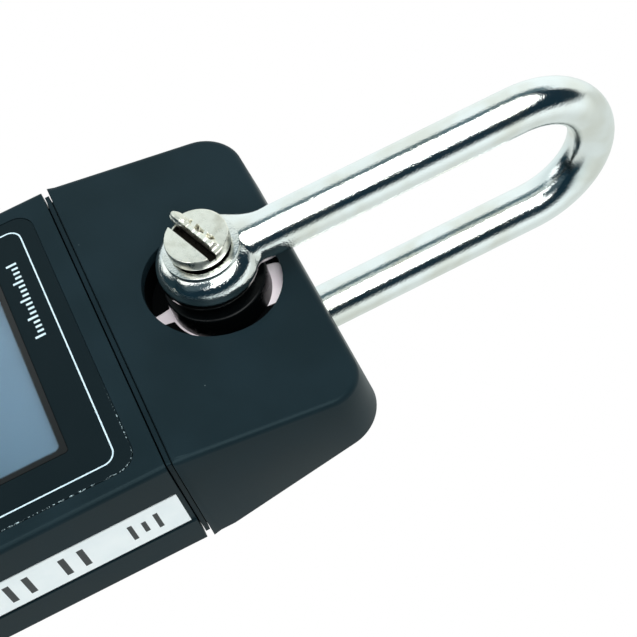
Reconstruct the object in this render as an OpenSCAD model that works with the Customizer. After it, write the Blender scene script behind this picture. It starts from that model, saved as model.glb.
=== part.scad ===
// Hand-held digital hanging scale for fish and game: a screw-pin shackle on top, a
// plastic housing with two wedge-shaped end caps around an aluminium load cell, and
// a swivel safety hook below.
//
// Frame: +Z up along the load line, the display faces -Y, +X is the scale's right.
// The origin is the inner crown of the top shackle, where the scale is hung.
// Everything is in millimetres.

/* [Shackle] */
// Diameter of the shackle's round bar
rod_d = 8; // [7:0.5:8.5]
// Clear width between the two eyes
eye_gap = 18.5; // [18.5:0.1:20]
// Distance from the pin's axis to the centre of the bow
bow_rise = 55.6; // [50:0.1:75]
// Outer radius of each forged eye
eye_r = 8.45; // [7.8:0.05:9]
// Radius of the pin's shank
pin_r = 4; // [3.5:0.1:4.4]

/* [Housing] */
// Width of the housing
body_w = 60.6; // [58:0.1:66]
// Front face, measured from the shackle's own plane
front_y = -12.1; // [-13:0.1:-12]
// Back face, measured from the shackle's own plane
back_y = 13.5; // [13:0.1:14.5]
// Length of the straight display block, between the two grooves
block_l = 76; // [74:1:90]
// Width of the groove between the display block and each end cap
groove_w = 1.17; // [0.8:0.01:1.6]
// Depth of that groove
groove_d = 1; // [0.6:0.1:1.2]
// Radius along the housing's long edges
edge_r = 1; // [0.6:0.1:1.5]
// Thickness of the moulded walls
wall = 2.2; // [2:0.1:2.4]

/* [End caps] */
// Slope of an end cap's front face, in degrees
front_slope = 11.7; // [10:0.1:12.5]
// Slope of an end cap's back face, in degrees
back_slope = 13.8; // [12:0.1:14.5]
// Level stretch between the groove and the front slope
front_land = 1.27; // [1.2:0.01:3]
// Level stretch between the groove and the back slope
back_land = 4.5; // [4:0.1:6]
// Length of an end cap along its front slope's projection
cap_l = 32.8; // [32:0.1:34]
// Radius of an end cap's outer corners
corner_r = 6.5; // [5:0.1:8]
// Radius of the round window that lets the shackle's eye into the cap
eye_window_r = 11.3; // [10.8:0.1:11.8]
// Distance from a groove to the nearest pin
pin_inset = 19.1; // [18.5:0.1:19.5]

/* [Display] */
// Width and length of the printed overlay
overlay_size = [54.4, 68]; // [50:0.1:70]
// Corner radius of the overlay
overlay_corner = 3.2; // [2:0.1:6]
// Width and height of the viewing window
window_size = [39.4, 25]; // [22:0.1:42]
// Distance from the upper groove to the window's top edge
window_drop = 12.9; // [11:0.1:15]
// Distance from the upper groove to the row of keys
key_drop = 54; // [50:0.5:58]
// Width and height of a key
key_size = [11, 7]; // [6:0.5:12]
// Distance between neighbouring keys
key_pitch = 16; // [13:0.5:17]

/* [Load cell] */
// Width and thickness of the load cell's bar
cell_size = [32, 8]; // [7:0.5:34]
// Outer radius of the black spacer bushes
bush_r = 9.1; // [8.8:0.1:9.6]
// Radius of the bore that takes a bush
cell_bore_r = 6; // [5.4:0.1:6.5]

/* [Hook] */
// Distance from the lower pin to the inner face of the yoke's bridge
yoke_l = 40; // [38:0.5:46]
// Radius from the bowl's centre to the middle of the bar
bowl_r = 20.5; // [19:0.5:24]
// Thickest radius of the hook's bar, at the bottom of the bowl
hook_bar_r = 6.6; // [6:0.1:7.2]
// Radius of the swivel shank
shank_r = 5; // [4.5:0.1:5.5]

/* [Hidden] */
$fn = 64;
FIT = 0.06;          // running clearance round a pin or shank
GAP = 0.3;           // clearance between pieces that pass each other
SMALL = 0.01;        // overlap that joins two solids of one piece

rod_r = rod_d / 2;
half_w = body_w / 2;
eye_pad = 0.1;                               // an eye stands this far proud of its bar
leg_y = eye_gap / 2 + eye_pad + rod_r;       // centre of a shackle leg
bow_r = leg_y;                               // the bow's centreline radius
pin_z = -(bow_rise + bow_r - rod_r);         // upper pin
groove_z = pin_z - pin_inset;                // upper groove
low_groove_z = groove_z - block_l;
low_pin_z = low_groove_z - pin_inset;
mid_z = (groove_z + low_groove_z) / 2;
parting_y = 1;                               // where the two shells meet
eye_face_y = eye_gap / 2;                    // inner face of each eye
eye_t = rod_d + 2 * eye_pad;
eye_out_y = eye_face_y + eye_t;              // outer face of each eye
spot_rise = 0.35;                            // the spot face stands this far proud
flare_r = 16;                                // radius that blends a leg into its eye
flare_z = sqrt(pow(eye_r + flare_r, 2) - pow(rod_r + flare_r, 2));
flare_x = (rod_r + flare_r) * eye_r / (eye_r + flare_r);

window_z = groove_z - window_drop - window_size[1] / 2;
key_z = groove_z - key_drop;
key_xs = [-key_pitch, 0, key_pitch];
key_travel = 0.5;
key_rise = 0.9;                              // how far a key stands proud

overlay_t = 0.3;
overlay_sink = 0.05;                         // the overlay lies this far below flush
lens_t = 1.1;
board_front_y = -7.4;
board_t = 1.6;
board_size = [51, 52];
board_z = mid_z + 1;

post_x = 23.5;                               // screw posts, near the four corners
post_inset = 4.2;
post_zs = [groove_z - post_inset, low_groove_z + post_inset];
post_r = 3.8;
screw_r = 1.4;
screw_head_r = 2.6;

tongue_l = 7;                                // how far a cap reaches into the block
tongue_gap = 0.15;

cell_end = 10.9;                             // the load cell's end beyond each pin
cell_top_z = pin_z + cell_end;
cell_bottom_z = low_pin_z - cell_end;

battery_r = 5.25;
battery_l = 44.5;
battery_x = 22.6;
battery_y = 6.4;
tray_l = 51;
cover_size = [53, 56];
cover_t = 1.5;
cover_sink = 0.1;
back_wall_y = back_y - wall;
block_z0 = low_groove_z + groove_w / 2;
block_h = block_l - groove_w;
plate_size = [36, 6];
plate_z = groove_z - 5.2;
label_l = 56;

bridge_t = 11.8;                             // height of the yoke's swivel boss
bridge_top_z = low_pin_z - yoke_l + 0.8;
bridge_bottom_z = bridge_top_z - bridge_t;
nut_h = 7;
nut_af = 15;
washer_t = 1;
collar_h = 4;
nut_z = bridge_top_z + washer_t + 0.2;
neck_turn = 55;                              // how far the neck leans before the bowl
neck_r = 12;                                 // bend radius where the neck leans
neck_run = (bowl_r * cos(neck_turn) - neck_r * (1 - cos(neck_turn))) / sin(neck_turn);
neck_z = bowl_r * sin(neck_turn) + neck_run * cos(neck_turn) + neck_r * sin(neck_turn);
bowl_z = bridge_bottom_z - GAP - collar_h - 5 - neck_z;
tip_angle = 163;                             // where the bowl ends, from +X
latch_pivot = [-6.6, 24.2];                  // from the bowl's centre, in X and Z
latch_end = [-14.6, 3.4];
latch_t = 1.2;
latch_half_w = 4.3;

// ---- shared forms ----

// A flat shape drawn in X and Z, made solid from y0 back to y1
module upright(y0, y1) translate([0, y1, 0]) rotate([90, 0, 0]) linear_extrude(y1 - y0)
    children();

module rounded_rect(w, h, r) {
    square([w - 2 * r, h], center = true);
    square([w, h - 2 * r], center = true);
    for (x = [-1, 1], z = [-1, 1])
        translate([x * (w / 2 - r), z * (h / 2 - r)]) circle(r);
}

// A cylinder along Y from y0 to y1
module along_y(r, y0, y1) translate([0, y0, 0]) rotate([-90, 0, 0]) cylinder(r = r, h = y1 - y0);

// A solid turned about the Y axis: the profile's x is the radius, its y runs along +Y
module turned_y() rotate([-90, 0, 0]) rotate_extrude() children();

// Both ends of the scale: children are drawn with the groove at z = 0, outwards up
module at_top() translate([0, 0, groove_z]) children();
module at_bottom() translate([0, 0, low_groove_z]) mirror([0, 0, 1]) children();

// ---- shackles and pins ----

// Profile of a forged eye: a washer with generously rounded outer edges
module eye_profile(t, r, edge) {
    square([r - edge, t]);
    translate([0, edge]) square([r, t - 2 * edge]);
    for (z = [edge, t - edge]) translate([r - edge, z]) circle(edge);
}

// One eye; side is -1 in front, with a raised spot face under the pin's head, and 1 behind
module forged_eye(side) {
    translate([0, side > 0 ? eye_face_y : -eye_out_y, 0]) turned_y() eye_profile(eye_t, eye_r, 2.6);
    if (side < 0) translate([0, -eye_out_y - spot_rise, 0]) along_y(6.3, 0, 1);
}

// A straight leg standing on its eye: round bar with a flare whose flanks run into the
// eye's rim along a circle of flare_r, forged flat in front and behind
module leg(side, l) translate([0, side * leg_y, 0]) intersection() {
    rotate_extrude() {
        translate([0, 2]) square([rod_r, l - 2]);
        difference() {
            translate([0, 2]) square([flare_x, flare_z - 2]);
            translate([rod_r + flare_r, flare_z]) circle(flare_r, $fn = 96);
        }
    }
    cube([40, eye_t - eye_pad, 2 * l + 2], center = true);
}

module pin_hole() along_y(pin_r + 0.04, -eye_out_y - 2, eye_out_y + 2);

module top_shackle() color("silver") translate([0, 0, pin_z]) difference() {
    union() {
        for (side = [-1, 1]) {
            forged_eye(side);
            leg(side, bow_rise);
        }
        translate([0, 0, bow_rise]) rotate([0, 0, 90]) rotate([90, 0, 0])
            rotate_extrude(angle = 180) translate([bow_r, 0]) circle(rod_r);
    }
    pin_hole();
}

// A slotted screw pin with a necked head in front and a domed thread end behind
module screw_pin() {
    head_r = 5.22;
    neck_gap = 0.75;
    head_y = -(eye_out_y + spot_rise + neck_gap);
    head_h = 2.3;
    slot_w = 1.5;
    slot_d = 1.3;
    difference() {
        translate([0, head_y - head_h, 0]) turned_y() {
            square([head_r - 0.3, head_h]);
            translate([0, 0.3]) square([head_r, head_h - 0.6]);
            for (y = [0.3, head_h - 0.3]) translate([head_r - 0.3, y]) circle(0.3, $fn = 24);
            translate([0, head_h - SMALL]) square([pin_r, -head_y + eye_out_y + 1.2]);
        }
        translate([0, head_y - head_h, 0]) rotate([0, -19.5, 0])
            cube([3 * head_r, 2 * slot_d, slot_w], center = true);
        // the thread end is chamfered
        translate([0, eye_out_y + 0.4, 0]) turned_y() polygon([[pin_r + 1, 0], [pin_r, 0],
            [pin_r - 0.8, 0.8 + SMALL], [pin_r + 1, 0.8 + SMALL]]);
    }
}

module top_pin() color("gainsboro") translate([0, 0, pin_z]) screw_pin();
module lower_pin() color("gainsboro") translate([0, 0, low_pin_z]) screw_pin();

// ---- housing ----

// Ring that rounds one outer corner of a sloped face; its face plane is at z = 0
module corner_ring(r, e) translate([0, 0, -e]) rotate_extrude($fn = 48)
    translate([r - e, 0]) circle(e, $fn = 16);

// The wedge's outer skin, moved inwards by inset; a positive drop reaches below the groove
module wedge(inset, drop) {
    e = max(edge_r - inset, 0.3);
    r = corner_r - inset;
    x = half_w - corner_r;
    z = cap_l - corner_r * cos(front_slope);
    fy = front_y + (z - front_land) * tan(front_slope);
    bz = cap_l + 1.2 - corner_r * cos(back_slope);
    by = back_y - (bz - back_land) * tan(back_slope);
    hull() {
        for (side = [-1, 1]) {
            translate([side * x, fy, z]) rotate([90 - front_slope, 0, 0])
                translate([0, 0, -inset]) corner_ring(r, e);
            translate([side * x, by, bz]) rotate([back_slope - 90, 0, 0])
                translate([0, 0, -inset]) corner_ring(r, e);
            translate([side * (half_w - inset - e), front_y + inset + e, groove_w / 2 - drop])
                cylinder(r = e, h = front_land - groove_w / 2 + drop, $fn = 24);
            translate([side * (half_w - inset - e), back_y - inset - e, groove_w / 2 - drop])
                cylinder(r = e, h = back_land - groove_w / 2 + drop, $fn = 24);
        }
    }
}

// Rectangle of the housing's section, moved inwards
module section(inset) translate([-half_w + inset, front_y + inset])
    square([body_w - 2 * inset, back_y - front_y - 2 * inset]);

// An end cap: hollow wedge, round eye windows front and back, and the tongue that
// plugs into the display block and makes the groove's floor
module end_cap() {
    difference() {
        wedge(0, 0);
        wedge(wall - 0.4, 1);
        translate([0, 0, pin_inset - 0.5]) along_y(eye_window_r, front_y - 1, back_y + 1);
    }
    difference() {
        union() {
            translate([0, 0, -groove_w / 2]) linear_extrude(groove_w + SMALL) section(groove_d);
            translate([0, 0, -tongue_l]) linear_extrude(tongue_l) section(wall + tongue_gap);
        }
        translate([0, 0, -tongue_l - 1]) linear_extrude(tongue_l + 3) section(wall + 1.6);
        for (x = [-post_x, post_x]) translate([x, 0, -post_inset])
            along_y(post_r + 0.25, front_y, back_y);
    }
}

module top_end_cap() color("#26363e") at_top() end_cap();
module bottom_end_cap() color("#26363e") at_bottom() end_cap();

// Half of the housing's section with its two long edges rounded
module shell_section(y_out, y_in) {
    s = y_out < y_in ? 1 : -1;
    for (x = [-1, 1]) translate([x * (half_w - edge_r), y_out + s * edge_r]) circle(edge_r);
    translate([-half_w + edge_r, min(y_out, y_in)])
        square([body_w - 2 * edge_r, abs(y_in - y_out)]);
    translate([-half_w, min(y_out + s * edge_r, y_in)])
        square([body_w, abs(y_in - y_out) - edge_r]);
}

module shell_blank(y_out, y_in) translate([0, 0, block_z0]) linear_extrude(block_h) difference() {
    shell_section(y_out, y_in);
    s = y_out < y_in ? 1 : -1;
    translate([-half_w + wall, min(y_out + s * wall, y_in + s)])
        square([body_w - 2 * wall, abs(y_in + s - y_out) - wall]);
}

// Shallow strip recess down both sides, where the identification tape goes
module side_recess() for (x = [-1, 1])
    translate([x * half_w, 1.05, mid_z]) cube([0.7, 10.4, block_h + 2], center = true);

// Screw posts at the four corners
module at_posts() for (x = [-post_x, post_x], z = post_zs) translate([x, 0, z]) children();

module key_outline(grow) rounded_rect(key_size[0] + 2 * grow, key_size[1] + 2 * grow,
    key_size[1] / 2 + grow - 0.01);

module front_shell() color("#26363e") difference() {
    union() {
        difference() {
            shell_blank(front_y, parting_y);
            side_recess();
            // pocket for the overlay
            translate([0, 0, mid_z]) upright(front_y - 1, front_y + overlay_t + overlay_sink)
                rounded_rect(overlay_size[0] + 0.3, overlay_size[1] + 0.3, overlay_corner + 0.15);
            // pocket for the lens, then the smaller opening behind it
            translate([0, 0, window_z]) {
                upright(front_y - 1, front_y + overlay_sink + lens_t)
                    rounded_rect(window_size[0] + 0.3, window_size[1] + 0.3, 0.8);
                upright(front_y - 1, front_y + wall + 1)
                    rounded_rect(window_size[0] - 2, window_size[1] - 2, 0.5);
            }
            for (x = key_xs) translate([x, 0, key_z])
                upright(front_y - 1, front_y + wall + 1) key_outline(GAP);
        }
        at_posts() along_y(post_r - 0.9, front_y + wall - SMALL, parting_y);
        // low rails that carry the circuit board
        for (x = [-1, 1], z = [-1, 1]) translate([x * 23.5, 0, board_z + z * 23.5])
            along_y(2.2, front_y + wall - SMALL, board_front_y);
        // locating rib inside the parting line
        for (x = [-1, 1]) translate([x * (half_w - wall - 0.4), parting_y - 0.4, mid_z])
            cube([0.8, 1.8, block_h - 2 * tongue_l - 4], center = true);
    }
    at_posts() along_y(screw_r - 0.3, front_y + wall + 1, parting_y + 1);
    for (x = [-1, 1], z = [-1, 1]) translate([x * 23.5, 0, board_z + z * 23.5])
        along_y(0.85, front_y + wall + 0.2, board_front_y + 1);
}

module rear_shell() color("#26363e") difference() {
    union() {
        difference() {
            shell_blank(back_y, parting_y);
            side_recess();
            // the battery cover's seat and the opening inside it
            translate([0, 0, mid_z]) {
                upright(back_y - cover_t - cover_sink, back_y + 1)
                    rounded_rect(cover_size[0] + 0.4, cover_size[1] + 0.4, 2.2);
                upright(back_wall_y - 1, back_y + 1)
                    rounded_rect(cover_size[0] - 3, cover_size[1] - 3, 1.2);
            }
            translate([0, 0, plate_z]) upright(back_y - 0.2, back_y + 1)
                rounded_rect(plate_size[0] + 0.4, plate_size[1] + 0.4, 1);
            // thumb notch below the cover
            translate([0, back_y, mid_z - cover_size[1] / 2 - 2.4]) rotate([0, 90, 0])
                cylinder(r = 1.6, h = 16, center = true);
        }
        at_posts() along_y(post_r, parting_y, back_wall_y + SMALL);
    }
    at_posts() {
        along_y(screw_r + 0.2, parting_y - 1, back_y + 1);
        along_y(screw_head_r + 0.3, back_y - 4.5, back_y + 1);
    }
}

// ---- display and keys ----

module display_overlay() color("#1e2a30") difference() {
    translate([0, 0, mid_z]) upright(front_y + overlay_sink, front_y + overlay_sink + overlay_t)
        rounded_rect(overlay_size[0], overlay_size[1], overlay_corner);
    translate([0, 0, window_z]) upright(front_y - 1, front_y + 1)
        rounded_rect(window_size[0] + 0.2, window_size[1] + 0.2, 0.7);
    for (x = key_xs) translate([x, 0, key_z]) upright(front_y - 1, front_y + 1) key_outline(GAP);
}

module display_lens() color("#6a7f8f") translate([0, 0, window_z])
    upright(front_y + overlay_sink, front_y + overlay_sink + lens_t - 0.02)
    rounded_rect(window_size[0], window_size[1], 0.6);

module lcd_cell() color("#566270") translate([0, 0, window_z - 1])
    upright(front_y + wall + 0.05, front_y + wall + 1.65)
    square([43, 29], center = true);

module lcd_backlight() color("white") translate([0, 0, window_z - 1])
    upright(front_y + wall + 1.7, board_front_y - 0.02)
    square([43, 29], center = true);

module main_board() color("darkgreen") difference() {
    union() {
        translate([0, 0, board_z]) upright(board_front_y, board_front_y + board_t)
            rounded_rect(board_size[0], board_size[1], 1.5);
        // amplifier chip, processor and connector on the back of the board
        translate([-12, board_front_y + board_t + 0.5, mid_z - 8]) cube([7, 1.1, 7], center = true);
        translate([3, board_front_y + board_t + 0.5, mid_z - 12]) cube([10, 1.1, 5], center = true);
        translate([19.5, board_front_y + board_t + 1.5, mid_z + 14]) cube([4, 3.2, 8], center = true);
    }
    for (x = [-1, 1], z = [-1, 1]) translate([x * 23.5, 0, board_z + z * 23.5])
        along_y(1.2, board_front_y - 1, board_front_y + 4);
}

module key_switches() color("dimgray") for (x = key_xs) translate([x, 0, key_z]) {
    upright(board_front_y - 0.85, board_front_y - 0.01) rounded_rect(6, 3.6, 0.4);
    along_y(0.9, board_front_y - 1.1, board_front_y - 0.8);
}

module board_screws() color("silver") for (x = [-1, 1], z = [-1, 1])
    translate([x * 23.5, 0, board_z + z * 23.5]) {
        along_y(0.8, board_front_y - 1.8, board_front_y + board_t + 0.1);
        along_y(1.9, board_front_y + board_t + 0.02, board_front_y + board_t + 1.1);
    }

// A key: crowned button, flange behind the wall, and a stub over its switch
module key_cap(x) translate([x, 0, key_z]) {
    upright(front_y - key_rise + 0.5, front_y + wall + 0.1) key_outline(0);
    upright(front_y - key_rise, front_y - key_rise + 0.51) key_outline(-0.5);
    upright(front_y + wall + 0.05, front_y + wall + 0.55) key_outline(1.2);
    along_y(1.2, front_y + wall + 0.5, board_front_y - 1.1 - key_travel - 0.1);
}

module left_button() color("#39464d") key_cap(key_xs[0]);
module middle_button() color("#39464d") key_cap(key_xs[1]);
module right_button() color("#39464d") key_cap(key_xs[2]);

// ---- load cell ----

// Bar with a bore at each end and the S-shaped bending section in the middle: a slot
// from each side meets a pair of round gauge pockets
module load_cell() color("#d9cfd0") difference() {
    w = cell_size[0];
    pocket_r = 6.5;
    pocket_z = 9;
    slot_w = 2;
    slot_z = 21;
    translate([0, 0, (cell_top_z + cell_bottom_z) / 2])
        upright(-cell_size[1] / 2, cell_size[1] / 2)
        rounded_rect(w, cell_top_z - cell_bottom_z, 8);
    for (z = [pin_z, low_pin_z]) translate([0, 0, z]) along_y(cell_bore_r, -10, 10);
    translate([0, 0, mid_z]) {
        for (z = [-1, 1]) translate([0, 0, z * pocket_z]) along_y(pocket_r, -10, 10);
        cube([slot_w * 1.5, 20, 2 * pocket_z], center = true);
        for (s = [-1, 1]) {
            translate([s * (w / 4 - 1), 0, s * slot_z]) cube([w / 2 + 10, 20, slot_w], center = true);
            translate([-s * 6, 0, s * slot_z]) along_y(slot_w, -10, 10);
        }
    }
}

// Spacer bushes: a broad shoulder outside the bar and a sleeve inside its bore
module pin_bushes() color("#101416") for (z = [pin_z, low_pin_z], side = [-1, 1])
    translate([0, 0, z]) mirror([0, side > 0 ? 0 : 1, 0]) difference() {
        shoulder_y = cell_size[1] / 2 + 0.03;
        face_y = eye_face_y - 0.25;
        union() {
            translate([0, shoulder_y, 0]) turned_y() {
                square([bush_r, face_y - shoulder_y - 0.4]);
                square([bush_r - 0.4, face_y - shoulder_y]);
                translate([bush_r - 0.4, face_y - shoulder_y - 0.4]) circle(0.4, $fn = 24);
            }
            along_y(cell_bore_r - 0.03, 0.2, shoulder_y + SMALL);
        }
        along_y(pin_r + FIT, -1, 20);
    }

// White silicone over the strain gauges in the upper pocket
module gauge_potting() color("white") translate([0, 0, mid_z + 9]) difference() {
    along_y(6.4, -cell_size[1] / 2 + 1, cell_size[1] / 2 - 1);
    cube([40, 20, 3], center = true);
}

// Four-core lead from the gauges to the connector on the board
module sensor_lead() color("firebrick") {
    y = -cell_size[1] / 2 - 0.75;
    for (i = [0 : 3]) translate([0, y, mid_z + 13.4 - i * 1.1]) rotate([0, 90, 0])
        cylinder(r = 0.45, h = 17.2, $fn = 16);
}

// ---- battery bay ----

module at_batteries() for (x = [-1, 1]) translate([x * battery_x, 0, mid_z]) children();

// Open trays either side of the load cell: floor, end walls and an inner wall
module battery_trays() color("#26363e") for (s = [-1, 1]) translate([0, 0, mid_z]) mirror([s < 0 ? 1 : 0, 0, 0]) {
    x0 = cell_size[0] / 2 + 0.35;
    x1 = half_w - wall - 1;
    translate([x0, 0.1, -tray_l / 2]) cube([x1 - x0, 0.8, tray_l]);
    translate([x0, 0.1, -tray_l / 2]) cube([0.8, 10, tray_l]);
    for (z = [-tray_l / 2, tray_l / 2 - 0.9]) translate([x0, 0.1, z]) cube([x1 - x0, 10.6, 0.9]);
}

module battery_cells() color("#8a9a5b") at_batteries() translate([0, battery_y, -battery_l / 2]) {
    cylinder(r = battery_r, h = battery_l - 1);
    cylinder(r = 1.9, h = battery_l);
}

// Coil contact at one end of each cell, plate contact at the other
module battery_springs() color("silver") at_batteries() {
    translate([0, battery_y, 0]) {
        for (i = [0 : 2]) translate([0, 0, -battery_l / 2 - 0.45 - i * 0.75]) rotate_extrude()
            translate([2.2 + i * 0.7, 0]) circle(0.4, $fn = 16);
        translate([-3.5, -3.5, battery_l / 2 + 0.15]) cube([7, 7, 0.4]);
        translate([-3.5, -3.5, -tray_l / 2 + 0.92]) cube([7, 7, 0.4]);
    }
}

// Snap-in cover with a thumb ridge and two hook tabs
module battery_cover() color("#26363e") translate([0, 0, mid_z]) {
    difference() {
        upright(back_y - cover_t - cover_sink + 0.03, back_y - cover_sink)
            rounded_rect(cover_size[0], cover_size[1], 2);
        for (i = [0 : 4]) translate([0, back_y - cover_sink, -cover_size[1] / 2 + 6 + i * 2])
            cube([18, 0.8, 0.9], center = true);
    }
    for (x = [-12, 12]) translate([x, back_wall_y - 0.9, cover_size[1] / 2 - 2.2])
        cube([6, 3, 1.2], center = true);
}

// ---- fasteners and labels ----

module case_screws() color("dimgray") at_posts() difference() {
    union() {
        along_y(screw_r - 0.35, parting_y - 6, back_y - 4);
        along_y(screw_head_r, back_y - 4.47, back_y - 2.9);
    }
    translate([0, back_y - 2.9, 0]) for (a = [0, 90]) rotate([0, a, 0]) cube([3.2, 1.6, 0.7], center = true);
}

module side_label() color("#eef3f8")
    translate([half_w - 0.26, 1.05, groove_z - 1.36 - label_l / 2])
    cube([0.14, 9.2, label_l], center = true);

// Blank plate in its own shallow recess above the battery cover
module rating_plate() color("silver") translate([0, 0, plate_z])
    upright(back_y - 0.19, back_y - 0.05) rounded_rect(plate_size[0], plate_size[1], 0.8);

// ---- swivel hook ----

// Short U-shaped yoke with a bored boss across its lower end
module lower_yoke() color("silver") translate([0, 0, low_pin_z]) difference() {
    bend_r = 7;
    union() {
        for (side = [-1, 1]) mirror([0, 0, 1]) {
            forged_eye(side);
            leg(side, yoke_l - bend_r + rod_r);
            translate([0, side * (leg_y - bend_r), yoke_l - bend_r + rod_r])
                rotate([0, 0, side > 0 ? 90 : -90]) rotate([90, 0, 0])
                rotate_extrude(angle = 90) translate([bend_r, 0]) circle(rod_r);
        }
        translate([0, bend_r - leg_y - SMALL, -yoke_l - rod_r]) rotate([-90, 0, 0])
            cylinder(r = rod_r, h = 2 * (leg_y - bend_r + SMALL));
        translate([0, 0, bridge_bottom_z - low_pin_z]) cylinder(r = 9.5, h = bridge_t);
    }
    pin_hole();
    translate([0, 0, bridge_bottom_z - low_pin_z - 1]) cylinder(r = shank_r + FIT, h = bridge_t + 2);
}

module thrust_washer() color("#b08d57") translate([0, 0, bridge_top_z]) difference() {
    cylinder(r = 7.8, h = washer_t);
    translate([0, 0, -1]) cylinder(r = shank_r + 0.15, h = washer_t + 2);
}

module hook_nut() color("silver") translate([0, 0, nut_z]) difference() {
    intersection() {
        cylinder(r = nut_af / sqrt(3), h = nut_h, $fn = 6);
        // both faces chamfered to a circle
        rotate_extrude() polygon([[0, 0], [nut_af / 2 - 0.2, 0], [nut_af / sqrt(3), 0.75],
            [nut_af / sqrt(3), nut_h - 0.75], [nut_af / 2 - 0.2, nut_h], [0, nut_h]]);
    }
    translate([0, 0, -1]) cylinder(r = shank_r + 0.02, h = nut_h + 2);
    // castle slots for the split pin
    for (a = [0, 60, 120]) rotate([0, 0, a]) translate([0, 0, nut_h])
        cube([30, 2, 4.4], center = true);
}

module split_pin() color("silver") translate([0, 0, nut_z + nut_h - 1.1]) {
    rotate([0, 90, 0]) cylinder(r = 0.8, h = 15.4, center = true);
    translate([7.7, 0, 0]) sphere(0.9);
}

// Points of the hook's centreline in X and Z with the bar's radius, from neck to tip
hook_neck = [for (i = [0 : 5]) let (a = neck_turn * i / 5)
    [neck_r * (1 - cos(a)), neck_z - neck_r * sin(a), -90 + a, shank_r + 0.5 * i / 5]];
hook_bowl = [for (i = [0 : 40]) let (t = i / 40, a = neck_turn - t * (neck_turn + 360 - tip_angle))
    [bowl_r * cos(a), bowl_r * sin(a), a - 90,
     t < 0.55 ? 5.5 + (hook_bar_r - 5.5) * sin(90 * t / 0.55)
              : hook_bar_r - (hook_bar_r - 3.9) * pow((t - 0.55) / 0.45, 1.4)]];
hook_tip_turn = 22;
hook_tip_r = 14;
hook_tip = [for (i = [1 : 5]) let (a = tip_angle - 90, b = hook_tip_turn * i / 5,
        cx = bowl_r * cos(tip_angle) + hook_tip_r * cos(tip_angle),
        cz = bowl_r * sin(tip_angle) + hook_tip_r * sin(tip_angle))
    [cx - hook_tip_r * cos(tip_angle + b), cz - hook_tip_r * sin(tip_angle + b), a + b,
     [3.8, 3.6, 3.3, 2.6, 1.2][i - 1]]];

SIDES = 24;
module swept_bar(path) {
    n = len(path);
    points = [for (p = path) for (k = [0 : SIDES - 1]) let (q = 360 * k / SIDES, d = p[2],
            u = p[3] * cos(q), v = 0.88 * p[3] * sin(q))
        [p[0] - u * sin(d), v, p[1] + u * cos(d)]];
    sides = [for (i = [0 : n - 2]) for (k = [0 : SIDES - 1]) let (m = (k + 1) % SIDES)
        [i * SIDES + k, i * SIDES + m, (i + 1) * SIDES + m, (i + 1) * SIDES + k]];
    caps = [[for (k = [0 : SIDES - 1]) SIDES - 1 - k], [for (k = [0 : SIDES - 1]) (n - 1) * SIDES + k]];
    polyhedron(points, concat(caps, sides), convexity = 6);
}

module hook() color("silver") translate([0, 0, bowl_z]) difference() {
    union() {
        swept_bar(concat(hook_neck, hook_bowl, hook_tip));
        collar_z = bridge_bottom_z - bowl_z - GAP - collar_h;
        translate([0, 0, neck_z - 0.5]) cylinder(r = shank_r, h = nut_z + nut_h + 1 - bowl_z - neck_z);
        translate([0, 0, collar_z]) cylinder(r = 8.4, h = collar_h);
        translate([0, 0, collar_z - 3]) cylinder(r1 = shank_r, r2 = 8, h = 3 + SMALL);
        // lug that carries the latch
        translate([latch_pivot[0], 0, latch_pivot[1]]) along_y(3.6, -2.5, 2.5);
        translate([latch_pivot[0], -2.5, latch_pivot[1] - 3.6]) cube([6, 5, 7.2]);
    }
    translate([latch_pivot[0], 0, latch_pivot[1]]) along_y(1.65, -10, 10);
    translate([0, 0, nut_z + nut_h - 1.1 - bowl_z]) rotate([0, 90, 0])
        cylinder(r = 0.9, h = 20, center = true);
}

// Pressed-steel latch: two cheeks on the rivet and a tongue that closes on the tip
module latch() color("gainsboro") translate([latch_pivot[0], 0, bowl_z + latch_pivot[1]]) {
    d = latch_end - latch_pivot;
    l = norm(d);
    rotate([0, atan2(d[0], d[1]), 0]) difference() {
        union() {
            for (side = [-1, 1]) mirror([0, side < 0 ? 1 : 0, 0]) {
                upright(latch_half_w - latch_t, latch_half_w) {
                    circle(3.4);
                    polygon([[-3.4, 0], [3.2, 0], [2.2, l * 0.55], [-2.0, l - 1.5], [-3.4, l - 3]]);
                }
            }
            translate([-3.4, -latch_half_w, 4.5]) cube([latch_t, 2 * latch_half_w, l - 4.5]);
        }
        along_y(1.7, -10, 10);
    }
}

module latch_rivet() color("silver") translate([latch_pivot[0], 0, bowl_z + latch_pivot[1]]) {
    along_y(1.6, -latch_half_w - 0.3, latch_half_w + 0.3);
    for (s = [-1, 1]) translate([0, s * (latch_half_w + 0.75), 0])
        along_y(2.6, -0.45, 0.45);
}

// Torsion spring coiled round the rivet, inside the cheeks
module latch_spring() color("dimgray") translate([latch_pivot[0], 0, bowl_z + latch_pivot[1]])
    for (s = [-1, 1]) translate([0, s * 2.85, 0]) rotate([90, 0, 0]) rotate_extrude()
        translate([2.1, 0]) circle(0.2, $fn = 16);

top_shackle();
top_pin();
top_end_cap();
bottom_end_cap();
front_shell();
rear_shell();
display_overlay();
display_lens();
lcd_cell();
lcd_backlight();
main_board();
key_switches();
board_screws();
left_button();
middle_button();
right_button();
load_cell();
pin_bushes();
gauge_potting();
sensor_lead();
battery_trays();
battery_cells();
battery_springs();
battery_cover();
case_screws();
side_label();
rating_plate();
lower_pin();
lower_yoke();
thrust_washer();
hook();
hook_nut();
split_pin();
latch();
latch_rivet();
latch_spring();
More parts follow.
